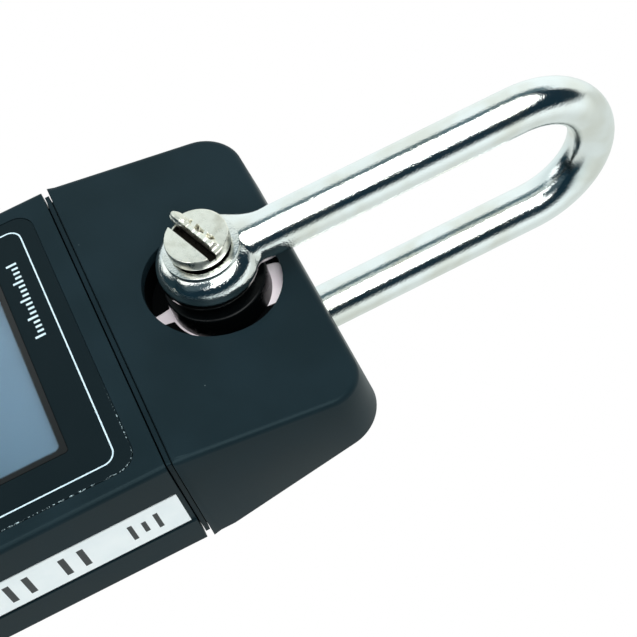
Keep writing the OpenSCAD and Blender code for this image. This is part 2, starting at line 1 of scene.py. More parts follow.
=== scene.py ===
# %% [markdown]
# A hand-held hanging scale: a polished steel shackle on a slotted pin, a black moulded
# housing with two wedge-shaped ends round an aluminium load cell, and a safety hook below.
# The frame is the measured CAD model. It gives every place and size, and Blender gives
# smooth surfaces, small detail and finishes. Lengths in this file are millimetres until a
# piece is built, because that is how such parts are drawn.

# %% Load the frame
import bmesh
import bpy
import numpy as np
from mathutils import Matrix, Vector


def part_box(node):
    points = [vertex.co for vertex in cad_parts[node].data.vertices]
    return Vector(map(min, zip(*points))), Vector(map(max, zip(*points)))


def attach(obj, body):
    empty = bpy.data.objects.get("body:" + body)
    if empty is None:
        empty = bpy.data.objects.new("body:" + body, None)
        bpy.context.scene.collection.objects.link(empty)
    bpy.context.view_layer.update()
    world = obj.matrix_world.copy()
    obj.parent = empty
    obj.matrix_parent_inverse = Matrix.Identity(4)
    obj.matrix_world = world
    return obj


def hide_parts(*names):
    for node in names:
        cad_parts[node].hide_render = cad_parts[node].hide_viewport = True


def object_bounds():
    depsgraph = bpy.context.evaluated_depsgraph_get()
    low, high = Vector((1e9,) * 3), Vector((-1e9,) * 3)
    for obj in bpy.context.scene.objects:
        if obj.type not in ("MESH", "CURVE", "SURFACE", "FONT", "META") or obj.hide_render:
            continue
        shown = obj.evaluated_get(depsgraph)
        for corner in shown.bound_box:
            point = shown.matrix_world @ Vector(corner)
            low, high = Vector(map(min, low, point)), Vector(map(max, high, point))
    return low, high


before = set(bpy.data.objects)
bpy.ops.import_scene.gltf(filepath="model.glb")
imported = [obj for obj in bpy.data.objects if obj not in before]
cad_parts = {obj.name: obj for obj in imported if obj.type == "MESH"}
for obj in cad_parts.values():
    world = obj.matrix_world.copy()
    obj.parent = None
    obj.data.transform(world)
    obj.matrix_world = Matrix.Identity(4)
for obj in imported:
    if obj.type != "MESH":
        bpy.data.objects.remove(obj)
cad_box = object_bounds()
MM = 0.001


def corners(node):
    """The lowest and highest corner of a CAD node, in millimetres."""
    return np.array(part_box(node)) / MM


pin_lo, pin_hi = corners("top_pin")
low_lo, low_hi = corners("lower_pin")
shell_lo, shell_hi = corners("front_shell")
pin_z = (pin_lo[2] + pin_hi[2]) / 2
low_pin_z = (low_lo[2] + low_hi[2]) / 2
half_w = shell_hi[0]
front_y = shell_lo[1]
back_y = corners("rear_shell")[1][1]
block_top, block_bottom = shell_hi[2], shell_lo[2]
print("pins at", round(pin_z, 2), round(low_pin_z, 2), "block", round(block_bottom, 2), round(block_top, 2))

# %% [markdown]
# A camera is a place, a turn and a lens. This one looks down on the upper front corner of
# the housing from the right, with its frame rolled so that the shackle runs to the upper
# right. A long lens keeps the straight edges nearly parallel, as a product picture has them.

# %% Camera
camera = bpy.data.objects.new("camera", bpy.data.cameras.new("camera"))
bpy.context.scene.collection.objects.link(camera)
camera.location = (0.153754, -0.215472, -0.071732)
camera.rotation_mode = "QUATERNION"
camera.rotation_quaternion = (0.450126, 0.707867, -0.189008, 0.510477)
camera.data.lens = 89.448
camera.data.sensor_width = 36
camera.data.clip_start = 0.01
camera.data.clip_end = 10
bpy.context.scene.camera = camera
bpy.context.scene.view_settings.view_transform = "Standard"
print("camera with a", camera.data.lens, "mm lens")

# %% [markdown]
# A node tree is easier to read when each node is one line. The helper below makes a node,
# sets its options and fills its inputs with plain values or with other nodes' outputs.
# Colours are written as the sRGB hex codes a designer would quote, and turned to the linear
# numbers that a renderer works in by one function.

# %% Colour, angle and node helpers
SMOOTH = {"interpolation_type": "SMOOTHSTEP"}
RGB = {"data_type": "RGBA"}


def tint(code):
    """Linear colour and alpha from sRGB hex: x / 12.92 near black, else ((x + 0.055) / 1.055) ^ 2.4."""
    x = np.array([int(code[i:i + 2], 16) for i in (1, 3, 5)]) / 255
    return (*np.where(x <= 0.04045, x / 12.92, ((x + 0.055) / 1.055) ** 2.4), 1.0)


def sin_deg(angle):
    """Sine of an angle in degrees."""
    return np.sin(np.radians(angle))


def cos_deg(angle):
    """Cosine of an angle in degrees."""
    return np.cos(np.radians(angle))


def add(tree, kind, inputs=None, **options):
    """One node, its kind given without "ShaderNode", with its options set.

    An input, by name or number, takes a value, a socket or another node's output.
    """
    node = tree.nodes.new("ShaderNode" + kind)
    for name, value in options.items():
        setattr(node, name, value)
    for key, value in (inputs or {}).items():
        live = [s for s in node.inputs if s.enabled]
        socket = live[key] if isinstance(key, int) else next(s for s in live if s.name == key)
        if isinstance(value, bpy.types.Node):
            value = next(s for s in value.outputs if s.enabled)
        if isinstance(value, bpy.types.NodeSocket):
            tree.links.new(value, socket)
        else:
            socket.default_value = value
    return node


# %% [markdown]
# Polished steel has no colour of its own to speak of: it shows the room. So the room matters
# most here. It is a pale studio with one big soft lamp in front and a dark gap all round that
# lamp, and it is written into the World shader by compass direction (0 is straight in front
# of the display, 90 is to its right) and by height above the horizon. The lamp is oval, so
# its reflection runs to a point where the bar bends. The camera itself looks at plain white.

# %% Studio round the object
world = bpy.data.worlds.new("studio")
bpy.context.scene.world = world
world.use_nodes = True
tree = world.node_tree
tree.nodes.clear()
way = add(tree, "SeparateXYZ", {0: add(tree, "TexCoord").outputs["Generated"]})
front = add(tree, "Math", {0: way.outputs["Y"], 1: -1.0}, operation="MULTIPLY")
turn = add(tree, "Math", {0: way.outputs["X"], 1: front}, operation="ARCTAN2")
compass = add(tree, "Math", {0: turn}, operation="DEGREES")
rise = add(tree, "Math", {0: way.outputs["Z"]}, operation="ARCSINE")
height = add(tree, "Math", {0: rise}, operation="DEGREES")


def patch(angles, heights, soft):
    """1 inside a box of directions in degrees, 0 outside, each side softened by its own amount."""
    product = 1.0
    measures = (compass, compass, height, height)
    for measure, limit, blur, sign in zip(measures, (*angles, *heights), soft, (1, -1, 1, -1)):
        edge = add(tree, "MapRange", {0: measure, 1: limit - sign * blur, 2: limit + sign * blur}, **SMOOTH)
        product = add(tree, "Math", {0: product, 1: edge}, operation="MULTIPLY")
    return product


ROOM = [
    ("cream far side", ((125, 250), (-99, 99), (20, 20, 5, 5)), (0.78, 0.85, 0.83, 1)),
    ("cream far side", ((-250, -125), (-99, 99), (20, 20, 5, 5)), (0.78, 0.85, 0.83, 1)),
    ("grey gap left of the lamp", ((-33, 0), (-30, 50), (8, 4, 8, 8)), (0.11, 0.18, 0.205, 1)),
    ("dark gap round the lamp", ((-10, 93), (-80, 84), (5, 12, 8, 6)), (0.010, 0.028, 0.042, 1)),
    ("white card low on the left", ((-78, -34), (-54, -34), (7, 7, 5, 5)), (1.3, 1.4, 1.4, 1)),
]
NEAR = [
    ("tripod in front of the lamp", ((11, 46), (-60, -6), (4, 6, 5, 4)), (0.07, 0.11, 0.13, 1)),
    ("lamp's foot beside the tripod", ((-13, 11), (-47, -26), (4, 4, 3, 4)), (2.0, 2.1, 2.1, 1)),
]
LAMP_AT = (20.0, -2.0)
LAMP_HALF = (30.0, 37.0)
LAMP = (5.6, 5.8, 5.75, 1)
LOW_WALL, HIGH_WALL, FAR_FLOOR = (0.76, 0.88, 0.89, 1), (1.06, 1.16, 1.16, 1), (0.02, 0.045, 0.06, 1)
up = add(tree, "MapRange", {0: height, 1: -40.0, 2: 25.0}, **SMOOTH)
room = add(tree, "Mix", {"Factor": up, "A": LOW_WALL, "B": HIGH_WALL}, **RGB)
low = add(tree, "MapRange", {0: height, 1: -34.0, 2: -46.0}, **SMOOTH)
room = add(tree, "Mix", {"Factor": low, "A": room, "B": FAR_FLOOR}, **RGB)
for _, place, light in ROOM:
    room = add(tree, "Mix", {"Factor": patch(*place), "A": room, "B": light}, **RGB)
off_lamp = []
for measure, centre, half in zip((compass, height), LAMP_AT, LAMP_HALF):
    away = add(tree, "Math", {0: measure, 1: centre}, operation="SUBTRACT")
    off_lamp.append(add(tree, "Math", {0: away, 1: half}, operation="DIVIDE"))
off = add(tree, "CombineXYZ", {0: off_lamp[0], 1: off_lamp[1]})
off = add(tree, "VectorMath", {0: off}, operation="LENGTH")
inside = add(tree, "MapRange", {0: off.outputs["Value"], 1: 1.16, 2: 0.86}, **SMOOTH)
room = add(tree, "Mix", {"Factor": inside, "A": room, "B": LAMP}, **RGB)
for _, place, light in NEAR:
    room = add(tree, "Mix", {"Factor": patch(*place), "A": room, "B": light}, **RGB)
seen = add(tree, "LightPath").outputs["Is Camera Ray"]
light = add(tree, "Mix", {"Factor": seen, "A": room, "B": (1, 1, 1, 1)}, **RGB)
sky = add(tree, "Background", {"Color": light})
add(tree, "OutputWorld", {"Surface": sky})
print("world nodes:", len(tree.nodes))

# %% [markdown]
# Every finish starts from what the real surface is. Each pattern is sized in millimetres: a
# noise texture's scale is how many of its features fit in one metre, so a grain g mm wide
# needs a scale of 1000 / g. A bump node's distance is the depth of that grain.

# %% Material helpers
finish = {}


def grain(place, size, **more):
    """Inputs of a pattern whose features are size mm wide."""
    return {"Vector": place, "Scale": 1000 / size, **more}


def material(name, colour, roughness, metallic=0.0, **sockets):
    """A new material with its Principled node set: its tree, its shader and the Object coordinates."""
    made = bpy.data.materials.new(name)
    made.use_nodes = True
    tree = made.node_tree
    shader = tree.nodes["Principled BSDF"]
    values = {"Base Color": tint(colour), "Roughness": roughness, "Metallic": metallic, **sockets}
    for socket, value in values.items():
        shader.inputs[socket].default_value = value
    finish[name] = made
    return tree, shader, add(tree, "TexCoord").outputs["Object"]


def relief(tree, shader, level, depth, strength=1.0):
    """The level becomes a bump depth mm deep, laid over any bump that is already there."""
    bump = add(tree, "Bump", {"Height": level, "Distance": depth * MM, "Strength": strength})
    if shader.inputs["Normal"].is_linked:
        tree.links.new(shader.inputs["Normal"].links[0].from_socket, bump.inputs["Normal"])
    tree.links.new(bump.outputs["Normal"], shader.inputs["Normal"])


def gloss(tree, shader, level, low, high):
    """The roughness runs from low to high as the level goes from 0.3 to 0.7."""
    span = add(tree, "MapRange", {0: level, 1: 0.3, 2: 0.7, 3: low, 4: high}, **SMOOTH)
    tree.links.new(span.outputs[0], shader.inputs["Roughness"])


def shades(tree, shader, level, ends, first, second):
    """The base colour runs from the first hex colour, or from what is there if it is None, to the second."""
    amount = add(tree, "MapRange", {0: level, 1: ends[0], 2: ends[1]}, **SMOOTH)
    base = tint(first) if first else shader.inputs["Base Color"].links[0].from_socket
    mix = add(tree, "Mix", {"Factor": amount, "A": base, "B": tint(second)}, **RGB)
    tree.links.new(next(s for s in mix.outputs if s.enabled), shader.inputs["Base Color"])


# %% [markdown]
# The housing is injection-moulded ABS. The mould is spark-eroded, which leaves a fine even
# matte grain about 0.2 mm wide. It hides flow marks and gives black plastic its soft grey
# sheen. A few specks of lint always sit on such a surface, so a sparse pattern of pale dots
# is mixed in: one dot in some of the cells of a 7 mm pattern.

# %% Housing plastic, key rubber and switch plastic
SATIN = {"Specular IOR Level": 0.1, "Specular Tint": (0.62, 0.92, 1.0, 1.0)}
tree, shader, place = material("housing_abs", "#152126", 0.4, **SATIN)
fine = add(tree, "TexNoise", grain(place, 0.22, Detail=3.0))
cloud = add(tree, "TexNoise", grain(place, 14))
shades(tree, shader, cloud, (0.3, 0.7), "#131f24", "#162329")
gloss(tree, shader, cloud, 0.36, 0.44)
relief(tree, shader, fine, 0.012, 0.55)
cells = add(tree, "TexVoronoi", grain(place, 7), feature="F1")
speck = add(tree, "MapRange", {0: cells.outputs["Distance"], 1: 0.02, 2: 0.012}, **SMOOTH)
chance = add(tree, "SeparateColor", {0: cells.outputs["Color"]})
some = add(tree, "Math", {0: chance.outputs[0], 1: 0.55}, operation="GREATER_THAN")
lint = add(tree, "Math", {0: speck, 1: some}, operation="MULTIPLY")
shades(tree, shader, lint, (0, 3), None, "#9fb0b4")

tree, shader, place = material("key_rubber", "#2b3a40", 0.62, **SATIN)
fine = add(tree, "TexNoise", grain(place, 0.18))
worn = add(tree, "TexNoise", grain(place, 3))
relief(tree, shader, fine, 0.01, 0.6)
gloss(tree, shader, worn, 0.55, 0.68)

tree, shader, place = material("switch_black", "#15181a", 0.4)
fine = add(tree, "TexNoise", grain(place, 0.3))
relief(tree, shader, fine, 0.01, 0.4)
print("plastics made")

# %% [markdown]
# The overlay is a polyester film with a satin hard coat, printed on its back and glued into
# a shallow pocket. Its cut edge is where it wears: small bright chips, most of them on the
# right-hand side, which a thumb rubs.
# The edge is found from a formula, the distance to a rectangle with round corners, so the
# chips follow it without any picture.

# %% Overlay film
film_lo, film_hi = corners("display_overlay")


def edge_distance(tree, place, centre, half, radius):
    """Distance in mm from a rounded rectangle in X and Z.

    It is the length of max(|p| - half + radius, 0), less the radius.
    """
    steps = [
        ("SUBTRACT", (centre[0] * MM, 0, centre[1] * MM)),
        ("MULTIPLY", (1000, 0, 1000)),
        ("ABSOLUTE", None),
        ("SUBTRACT", (half[0] - radius, 0, half[1] - radius)),
        ("MAXIMUM", (0, 0, 0)),
    ]
    p = place
    for operation, by in steps:
        p = add(tree, "VectorMath", {0: p} if by is None else {0: p, 1: by}, operation=operation)
    length = add(tree, "VectorMath", {0: p}, operation="LENGTH")
    return add(tree, "Math", {0: length, 1: radius}, operation="SUBTRACT")


tree, shader, place = material("overlay_film", "#0e171b", 0.34, **SATIN)
film_c = (film_lo + film_hi) / 2
film_half = (film_hi - film_lo) / 2
edge = edge_distance(tree, place, (film_c[0], film_c[2]), (film_half[0], film_half[2]), 3.2)
rim = add(tree, "MapRange", {0: edge, 1: -0.22, 2: -0.12}, **SMOOTH)
worn = add(tree, "TexNoise", grain(place, 0.55, Detail=4.0, Roughness=0.7))
worn = add(tree, "MapRange", {0: worn, 1: 0.52, 2: 0.62}, **SMOOTH)
side = add(tree, "SeparateXYZ", {0: place})
handled = add(tree, "MapRange", {0: side.outputs["X"], 1: 9 * MM, 2: 24 * MM}, **SMOOTH)
worn = add(tree, "Math", {0: worn, 1: handled}, operation="MULTIPLY")
chips = add(tree, "Math", {0: rim, 1: worn}, operation="MULTIPLY")
shades(tree, shader, chips, (0, 1), "#0e171b", "#a9bcc2")
fine = add(tree, "TexNoise", grain(place, 0.25))
cloud = add(tree, "TexNoise", grain(place, 9))
relief(tree, shader, fine, 0.006, 0.35)
gloss(tree, shader, cloud, 0.31, 0.38)
print("overlay half size", film_half.round(2))

# %% [markdown]
# Behind the clear acrylic window lies a liquid crystal cell. Switched off, its polariser
# looks like grey-blue satin with a little random unevenness, and a painted shade darkens it
# towards the bottom and towards +X. The acrylic is really clear, with the refraction of the
# real material, and its rim is painted black, as such windows are, so that no light leaks in at the side.

# %% Window, display cell and light guide
lens_lo, lens_hi = corners("display_lens")
lens_c, lens_half = (lens_lo + lens_hi) / 2, (lens_hi - lens_lo) / 2
tree, shader, place = material("window_acrylic", "#e9f1f3", 0.03, **{"IOR": 1.49, "Transmission Weight": 1.0})
edge = edge_distance(tree, place, (lens_c[0], lens_c[2]), (lens_half[0], lens_half[2]), 2.0)
shades(tree, shader, edge, (-1.3, -0.9), "#e9f1f3", "#020304")
wave = add(tree, "TexNoise", grain(place, 6))
relief(tree, shader, wave, 0.004, 0.3)

POLARISER = {"IOR": 1.5, "Coat Weight": 0.3, "Coat Roughness": 0.08}
tree, shader, place = material("lcd_glass", "#6a8ba6", 0.38, **POLARISER)
# Painted shade: the colour darkens towards the bottom and towards +X, over a random cloud of tone.
spot_at = add(tree, "SeparateXYZ", {0: place})
down = add(tree, "Math", {0: spot_at.outputs["Z"], 1: -26.0}, operation="MULTIPLY")
across = add(tree, "Math", {0: spot_at.outputs["X"], 1: 12.0, 2: down}, operation="MULTIPLY_ADD")
cloud = add(tree, "TexNoise", grain(place, 25, Detail=1.0))
tone_and_painted_shade = add(tree, "Math", {0: cloud, 1: 0.5, 2: across}, operation="MULTIPLY_ADD")
shades(tree, shader, tone_and_painted_shade, (2.6, 3.8), "#809db8", "#5c7c95")
fine = add(tree, "TexNoise", grain(place, 0.12))
relief(tree, shader, fine, 0.003, 0.4)

MILKY = {"Subsurface Weight": 0.2, "Subsurface Scale": 0.001}
tree, shader, place = material("light_guide", "#e8ecec", 0.35, **MILKY)
fine = add(tree, "TexNoise", grain(place, 0.6))
relief(tree, shader, fine, 0.01, 0.3)
print("display finishes made")

# %% [markdown]
# The shackle, yoke and hook are forged stainless steel, tumbled and then buffed. Buffing
# leaves mirror gloss but not flatness: the surface keeps a very shallow orange peel about
# 1.6 mm wide and a scatter of fine pits, which break the edges of every reflection. Metals
# take their reflection from the base colour, here the pale grey of chromium steel.

# %% Polished steel
tree, shader, place = material("stainless_polished", "#dfe0dc", 0.1, 1.0)
peel = add(tree, "TexNoise", grain(place, 1.6))
pits = add(tree, "TexNoise", grain(place, 0.3, Detail=1.0))
haze = add(tree, "TexNoise", grain(place, 3.5, Detail=3.0))
cloud = add(tree, "TexNoise", grain(place, 7))
relief(tree, shader, peel, 0.014, 0.4)
relief(tree, shader, pits, 0.028, 1.0)
gloss(tree, shader, haze, 0.08, 0.14)
shades(tree, shader, cloud, (0.35, 0.7), "#e8ebea", "#dcdcd5")
print("steel made")

# %% [markdown]
# The pins are turned from bar and nickel plated. The lathe leaves rings round the pin's own
# axis, drawn here as a sine of the distance from that axis (0.42 mm apart, coarser than the
# real ones so that they show), and handling adds short scratches. Plated nickel is warmer
# than steel. Wherever the head's metal lies deeper than the face, in the slot and the torn
# crevices, the colour is painted dark: partly grime, partly painted shade.

# %% Turned nickel of the two pins
RING_GAP = 0.42
HEAD_DEPTH = 2.9
SLOT_SHADE = (0.2, 1.0)
for name, z in (("pin_nickel", pin_z), ("pin_nickel_low", low_pin_z)):
    tree, shader, place = material(name, "#d9d6c8", 0.26, 1.0)
    off = add(tree, "VectorMath", {0: place, 1: (0, 0, z * MM)}, operation="SUBTRACT")
    off = add(tree, "VectorMath", {0: off, 1: (1, 0, 1)}, operation="MULTIPLY")
    radius = add(tree, "VectorMath", {0: off}, operation="LENGTH")
    phase = add(tree, "Math", {0: radius.outputs["Value"], 1: 2 * np.pi / (RING_GAP * MM)},
        operation="MULTIPLY")
    rings = add(tree, "Math", {0: phase}, operation="SINE")
    wobble = add(tree, "TexNoise", grain(place, 2.5, Detail=3.0))
    rings = add(tree, "Math", {0: rings, 1: wobble}, operation="MULTIPLY")
    scuffs = add(tree, "TexNoise", grain(place, 0.8, Detail=4.0, Roughness=0.7))
    relief(tree, shader, rings, 0.006, 0.4)
    relief(tree, shader, scuffs, 0.03, 0.25)
    gloss(tree, shader, scuffs, 0.24, 0.4)
    shades(tree, shader, wobble, (0.35, 0.75), "#efede2", "#cdc9ba")
    # Painted dark where the head's metal lies deeper than its face: partly grime, partly painted shade in the
    # slot and tears.
    depth = add(tree, "SeparateXYZ", {0: place}).outputs["Y"]
    near, far = [(pin_lo[1] + below) * MM for below in SLOT_SHADE]
    deep = add(tree, "MapRange", {0: depth, 1: near, 2: far}, **SMOOTH)
    within = add(tree, "MapRange", {0: radius.outputs["Value"], 1: 5.1 * MM, 2: 4.8 * MM}, **SMOOTH)
    grime_and_shade = add(tree, "Math", {0: deep, 1: within}, operation="MULTIPLY")
    behind, before = [(pin_lo[1] + HEAD_DEPTH) * MM, (pin_lo[1] + HEAD_DEPTH - 0.2) * MM]
    head = add(tree, "MapRange", {0: depth, 1: behind, 2: before}, **SMOOTH)
    grime_and_shade = add(tree, "Math", {0: grime_and_shade, 1: head}, operation="MULTIPLY")
    shades(tree, shader, grime_and_shade, (0, 1), None, "#1b1814")
print("nickel made")

# %% [markdown]
# The small metal parts differ mostly in how their surface was worked. Pressed sheet keeps
# the long brush marks of its coil, so its noise is stretched along the coil's direction by a
# Mapping node. Plated screws and contacts are barrel-finished and show no direction.

# %% Small metal parts
METALS = [
    ("contact_nickel", "#cfcdc4", "#b9b6aa", (0.22, 0.36), 0.4, (1, 1, 1)),
    ("latch_steel", "#cfd1d0", "#b4b7b7", (0.24, 0.38), 0.14, (1, 1, 0.06)),
    ("screw_zinc", "#767b7f", "#5c6165", (0.3, 0.48), 0.5, (1, 1, 1)),
    ("washer_bronze", "#b98f57", "#9a7442", (0.3, 0.42), 0.35, (1, 1, 1)),
    ("plate_silver", "#bfc3c4", "#a9adae", (0.28, 0.42), 0.12, (0.05, 1, 1)),
]
for name, light, dark, smooth, size, stretch in METALS:
    tree, shader, place = material(name, light, smooth[0], 1.0)
    run = add(tree, "Mapping", {"Vector": place, "Scale": stretch})
    marks = add(tree, "TexNoise", grain(run, size, Detail=3.0))
    relief(tree, shader, marks, 0.005, 0.5)
    gloss(tree, shader, marks, *smooth)
    shades(tree, shader, marks, (0.35, 0.75), light, dark)
print("small metals made:", len(METALS))

# %% [markdown]
# The load cell is milled aluminium, clear anodised, so it is pale and slightly pink and its
# gloss is soft. The bushes round the pin are black nylon turned smooth, with a low sheen.
# White silicone protects the strain gauges; it is soft, so light spreads a little inside it.
# The tube behind each window is near black with almost no sheen: painted shade for the inside of the window.

# %% Load cell, bushes and silicone
tree, shader, place = material("cell_aluminium", "#f6eaf0", 0.45)
run = add(tree, "Mapping", {"Vector": place, "Scale": (1, 1, 0.08)})
milled = add(tree, "TexNoise", grain(run, 0.25))
cloud = add(tree, "TexNoise", grain(place, 5))
relief(tree, shader, milled, 0.004, 0.5)
shades(tree, shader, cloud, (0.3, 0.7), "#fbf0f5", "#eddfe6")

tree, shader, place = material("bush_nylon", "#030506", 0.3, **{"Specular IOR Level": 0.12})
fine = add(tree, "TexNoise", grain(place, 0.6))
worn = add(tree, "TexNoise", grain(place, 4))
relief(tree, shader, fine, 0.01, 0.25)
gloss(tree, shader, worn, 0.24, 0.36)

# Near-black tube behind the windows, standing in for the shade inside them.
tree, shader, place = material("shade_window_tube", "#020304", 0.7, **{"Specular IOR Level": 0.04})
fine = add(tree, "TexNoise", grain(place, 0.3))
relief(tree, shader, fine, 0.02, 0.5)

RUBBERY = {"Subsurface Weight": 0.3, "Subsurface Scale": 0.001}
tree, shader, place = material("silicone_white", "#e6e7e2", 0.45, **RUBBERY)
lumps = add(tree, "TexNoise", grain(place, 2.2))
relief(tree, shader, lumps, 0.12, 0.5)

# %% [markdown]
# The circuit board is green solder mask over copper: square-cornered tracks stand slightly
# proud, which a Voronoi pattern measured along X, Y and Z steps imitates. The lead's four
# cores lie 1.1 mm apart in two colours, and each cell's sleeve has a copper-coloured end.

# %% Board, lead and battery sleeves
LACQUER = {"Coat Weight": 0.5, "Coat Roughness": 0.15}
tree, shader, place = material("circuit_board", "#1d4a30", 0.3, **LACQUER)
tracks = add(tree, "TexVoronoi", grain(place, 2.6),
    feature="DISTANCE_TO_EDGE", distance="CHEBYCHEV")
lines = add(tree, "MapRange", {0: tracks, 1: 0.09, 2: 0.05}, **SMOOTH)
shades(tree, shader, lines, (0, 1), "#1a432c", "#3a7a4c")
relief(tree, shader, lines, 0.03, 0.4)

tree, shader, place = material("lead_pvc", "#a3262b", 0.42)
core = add(tree, "SeparateXYZ", {0: place})
core = add(tree, "Math", {0: core.outputs["Z"], 1: np.pi / (1.1 * MM)}, operation="MULTIPLY")
core = add(tree, "Math", {0: core}, operation="SINE")
shades(tree, shader, core, (-0.1, 0.1), "#a3262b", "#2a2c30")

cap_edge = corners("battery_cells")[1][2] - 12
tree, shader, place = material("battery_wrap", "#8b9a63", 0.3, **{"Coat Weight": 0.4, "Coat Roughness": 0.1})
along = add(tree, "SeparateXYZ", {0: place})
shades(tree, shader, along.outputs["Z"], ((cap_edge - 0.3) * MM, cap_edge * MM), "#3d4b54", "#b98a4a")
creases = add(tree, "TexNoise", grain(place, 1.5))
relief(tree, shader, creases, 0.02, 0.2)

# %% [markdown]
# The side tape is white vinyl with a thin clear laminate. The inks are screen-printed: a
# little uneven, and less glossy than what they lie on.

# %% Tape and printing inks
LAMINATE = {"IOR": 1.5, "Coat Weight": 0.25, "Coat Roughness": 0.12}
tree, shader, place = material("label_tape", "#eef3f8", 0.3, **LAMINATE)
wave = add(tree, "TexNoise", grain(place, 1.8))
cloud = add(tree, "TexNoise", grain(place, 6))
relief(tree, shader, wave, 0.02, 0.25)
shades(tree, shader, cloud, (0.3, 0.7), "#f8fafc", "#f1f5f8")
for name, light, dark in (("print_white", "#cbdde6", "#b3c8d3"), ("print_black", "#14171a", "#23282c")):
    tree, shader, place = material(name, light, 0.4)
    patchy = add(tree, "TexNoise", grain(place, 0.6, Detail=3.0))
    relief(tree, shader, patchy, 0.004, 0.4)
    shades(tree, shader, patchy, (0.35, 0.75), light, dark)
print("finishes:", len(finish))

# %% Give every CAD node its finish
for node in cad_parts.values():
    for slot in node.material_slots:
        slot.material = finish[slot.material.name]
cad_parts["lower_pin"].material_slots[0].material = finish["pin_nickel_low"]
print("CAD nodes painted:", len(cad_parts))

# %% [markdown]
# Every new piece is a skin over a grid of points. A row of the grid is one outline, and the
# rows follow each other along the piece, so a whole shape is a few arrays. The helpers below
# turn such grids into one mesh, weld the seams and poles, and point all faces outwards.

# %% Mesh helpers
def skin(grid, ring=True, loop=False, caps=False):
    """Points and faces over a grid.

    ring closes each row, loop joins the last row to the first, and caps fill the end rows.
    """
    rows, cols = grid.shape[:2]
    i = np.arange(rows if loop else rows - 1)[:, None]
    j = np.arange(cols if ring else cols - 1)[None, :]
    here, there = i * cols, (i + 1) % rows * cols
    faces = np.stack([here + j, here + (j + 1) % cols, there + (j + 1) % cols, there + j], -1)
    faces = faces.reshape(-1, 4).tolist()
    if caps:
        faces += [np.arange(cols)[::-1].tolist(), (np.arange(cols) + (rows - 1) * cols).tolist()]
    return grid.reshape(-1, 3), faces


def piece(name, slot, body, parts, stands_for=(), crease=38, paint=None):
    """One object from closed skins given in mm, riding on a body and standing for CAD nodes."""
    verts, faces = [], []
    for points, polys in parts:
        start = sum(map(len, verts))
        verts.append(points)
        faces += [[k + start for k in poly] for poly in polys]
    mesh = bpy.data.meshes.new(name)
    mesh.from_pydata((np.concatenate(verts) * MM).tolist(), [], faces)
    work = bmesh.new()
    work.from_mesh(mesh)
    bmesh.ops.remove_doubles(work, verts=work.verts, dist=2e-6)
    bmesh.ops.dissolve_degenerate(work, edges=work.edges, dist=1e-7)
    bmesh.ops.recalc_face_normals(work, faces=work.faces)
    open_edges = sum(not e.is_manifold for e in work.edges)
    work.to_mesh(mesh)
    work.free()
    mesh.polygons.foreach_set("use_smooth", np.ones(len(mesh.polygons), bool))
    mesh.set_sharp_from_angle(angle=np.radians(crease))
    made = bpy.data.objects.new(name, mesh)
    bpy.context.scene.collection.objects.link(made)
    mesh.materials.append(finish[paint or slot])
    if stands_for:
        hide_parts(*stands_for)
    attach(made, body)
    print(name, len(mesh.polygons), "faces,", open_edges, "open edges")


def rounded(corners, radius, n=6):
    """A line of points whose inner corners each become the curve (1-t)^2 S + 2t(1-t) P + t^2 E."""
    p = np.array(corners, float)
    r = np.broadcast_to(np.array(radius, float), len(p) - 2)[:, None, None]
    before, after = p[:-2] - p[1:-1], p[2:] - p[1:-1]
    before /= np.linalg.norm(before, axis=1)[:, None]
    after /= np.linalg.norm(after, axis=1)[:, None]
    t = np.linspace(0, 1, n)[None, :, None]
    mid = p[1:-1][:, None, :]
    curve = mid + r * ((1 - t) ** 2 * before[:, None, :] + t ** 2 * after[:, None, :])
    return np.concatenate([p[:1], curve.reshape(-1, 2), p[-1:]])


def round_rect(w, h, r, n=10):
    """Points of a rectangle w by h with corners of radius r, as x and z."""
    t = np.radians(np.linspace(0, 90, n))
    s, c = r * np.sin(t), r * np.cos(t)
    x = np.concatenate([w / 2 - r + s, w / 2 - r + c, -w / 2 + r - s, -w / 2 + r - c])
    z = np.concatenate([-h / 2 + r - c, h / 2 - r + s, h / 2 - r + c, -h / 2 + r - s])
    return x, z


def turned(profile, centre, axis="Y", n=96, loop=False):
    """A profile of points (radius, distance along the axis) spun about a line; a ring's profile loops."""
    r, along = np.array(profile, float).T
    a = np.linspace(0, 2 * np.pi, n, endpoint=False)
    across, up, run = np.outer(r, np.cos(a)), np.outer(r, np.sin(a)), np.outer(along, np.ones(n))
    grid = np.stack([across, run, up] if axis == "Y" else [across, up, run], -1)
    return skin(grid + np.array(centre, float), loop=loop)


# %% [markdown]
# The shackle is a round bar whose ends are forged into eyes. Seen from the front, each end
# is the union of a disc and a bar, and its thickness at any point depends only on how far
# that point lies inside the outline: a quarter circle over the first 4 mm, then flat. The
# disc and the bar are joined by a smooth maximum, so the crease between them is crisp on one
# flank and runs out softly on the other, as the die left it.

# %% Forged bar with an eye
rod_r = 4.0
eye_r = 8.45
gap_half = 9.25
leg_y = gap_half + 0.1 + rod_r
COLS = 120
BEND_ROWS = 36


def smooth_max(a, b, k):
    """The larger of a and b, with k / 4 added where they are equal and nothing where they differ by k."""
    return np.maximum(a, b) + np.clip(k - np.abs(a - b), 0, None) ** 2 / (4 * k)


def depth_inside(x, u):
    """How far (x, u) lies inside the outline of a bar that stands on a disc."""
    k = 2.6 - 1.8 * np.tanh(x / 1.5)
    disc = eye_r - np.hypot(x, u)
    bar = rod_r - np.where(u > 0, np.abs(x), np.hypot(x, u))
    return smooth_max(disc, bar, k)


def reach(u, sign):
    """The outline's half width at height u on one side, found by halving an interval 40 times."""
    low, high = np.zeros_like(u), np.full_like(u, 9.0)
    for _ in range(40):
        mid = (low + high) / 2
        inside = depth_inside(sign * mid, u) > 0
        low, high = np.where(inside, mid, low), np.where(inside, high, mid)
    return low


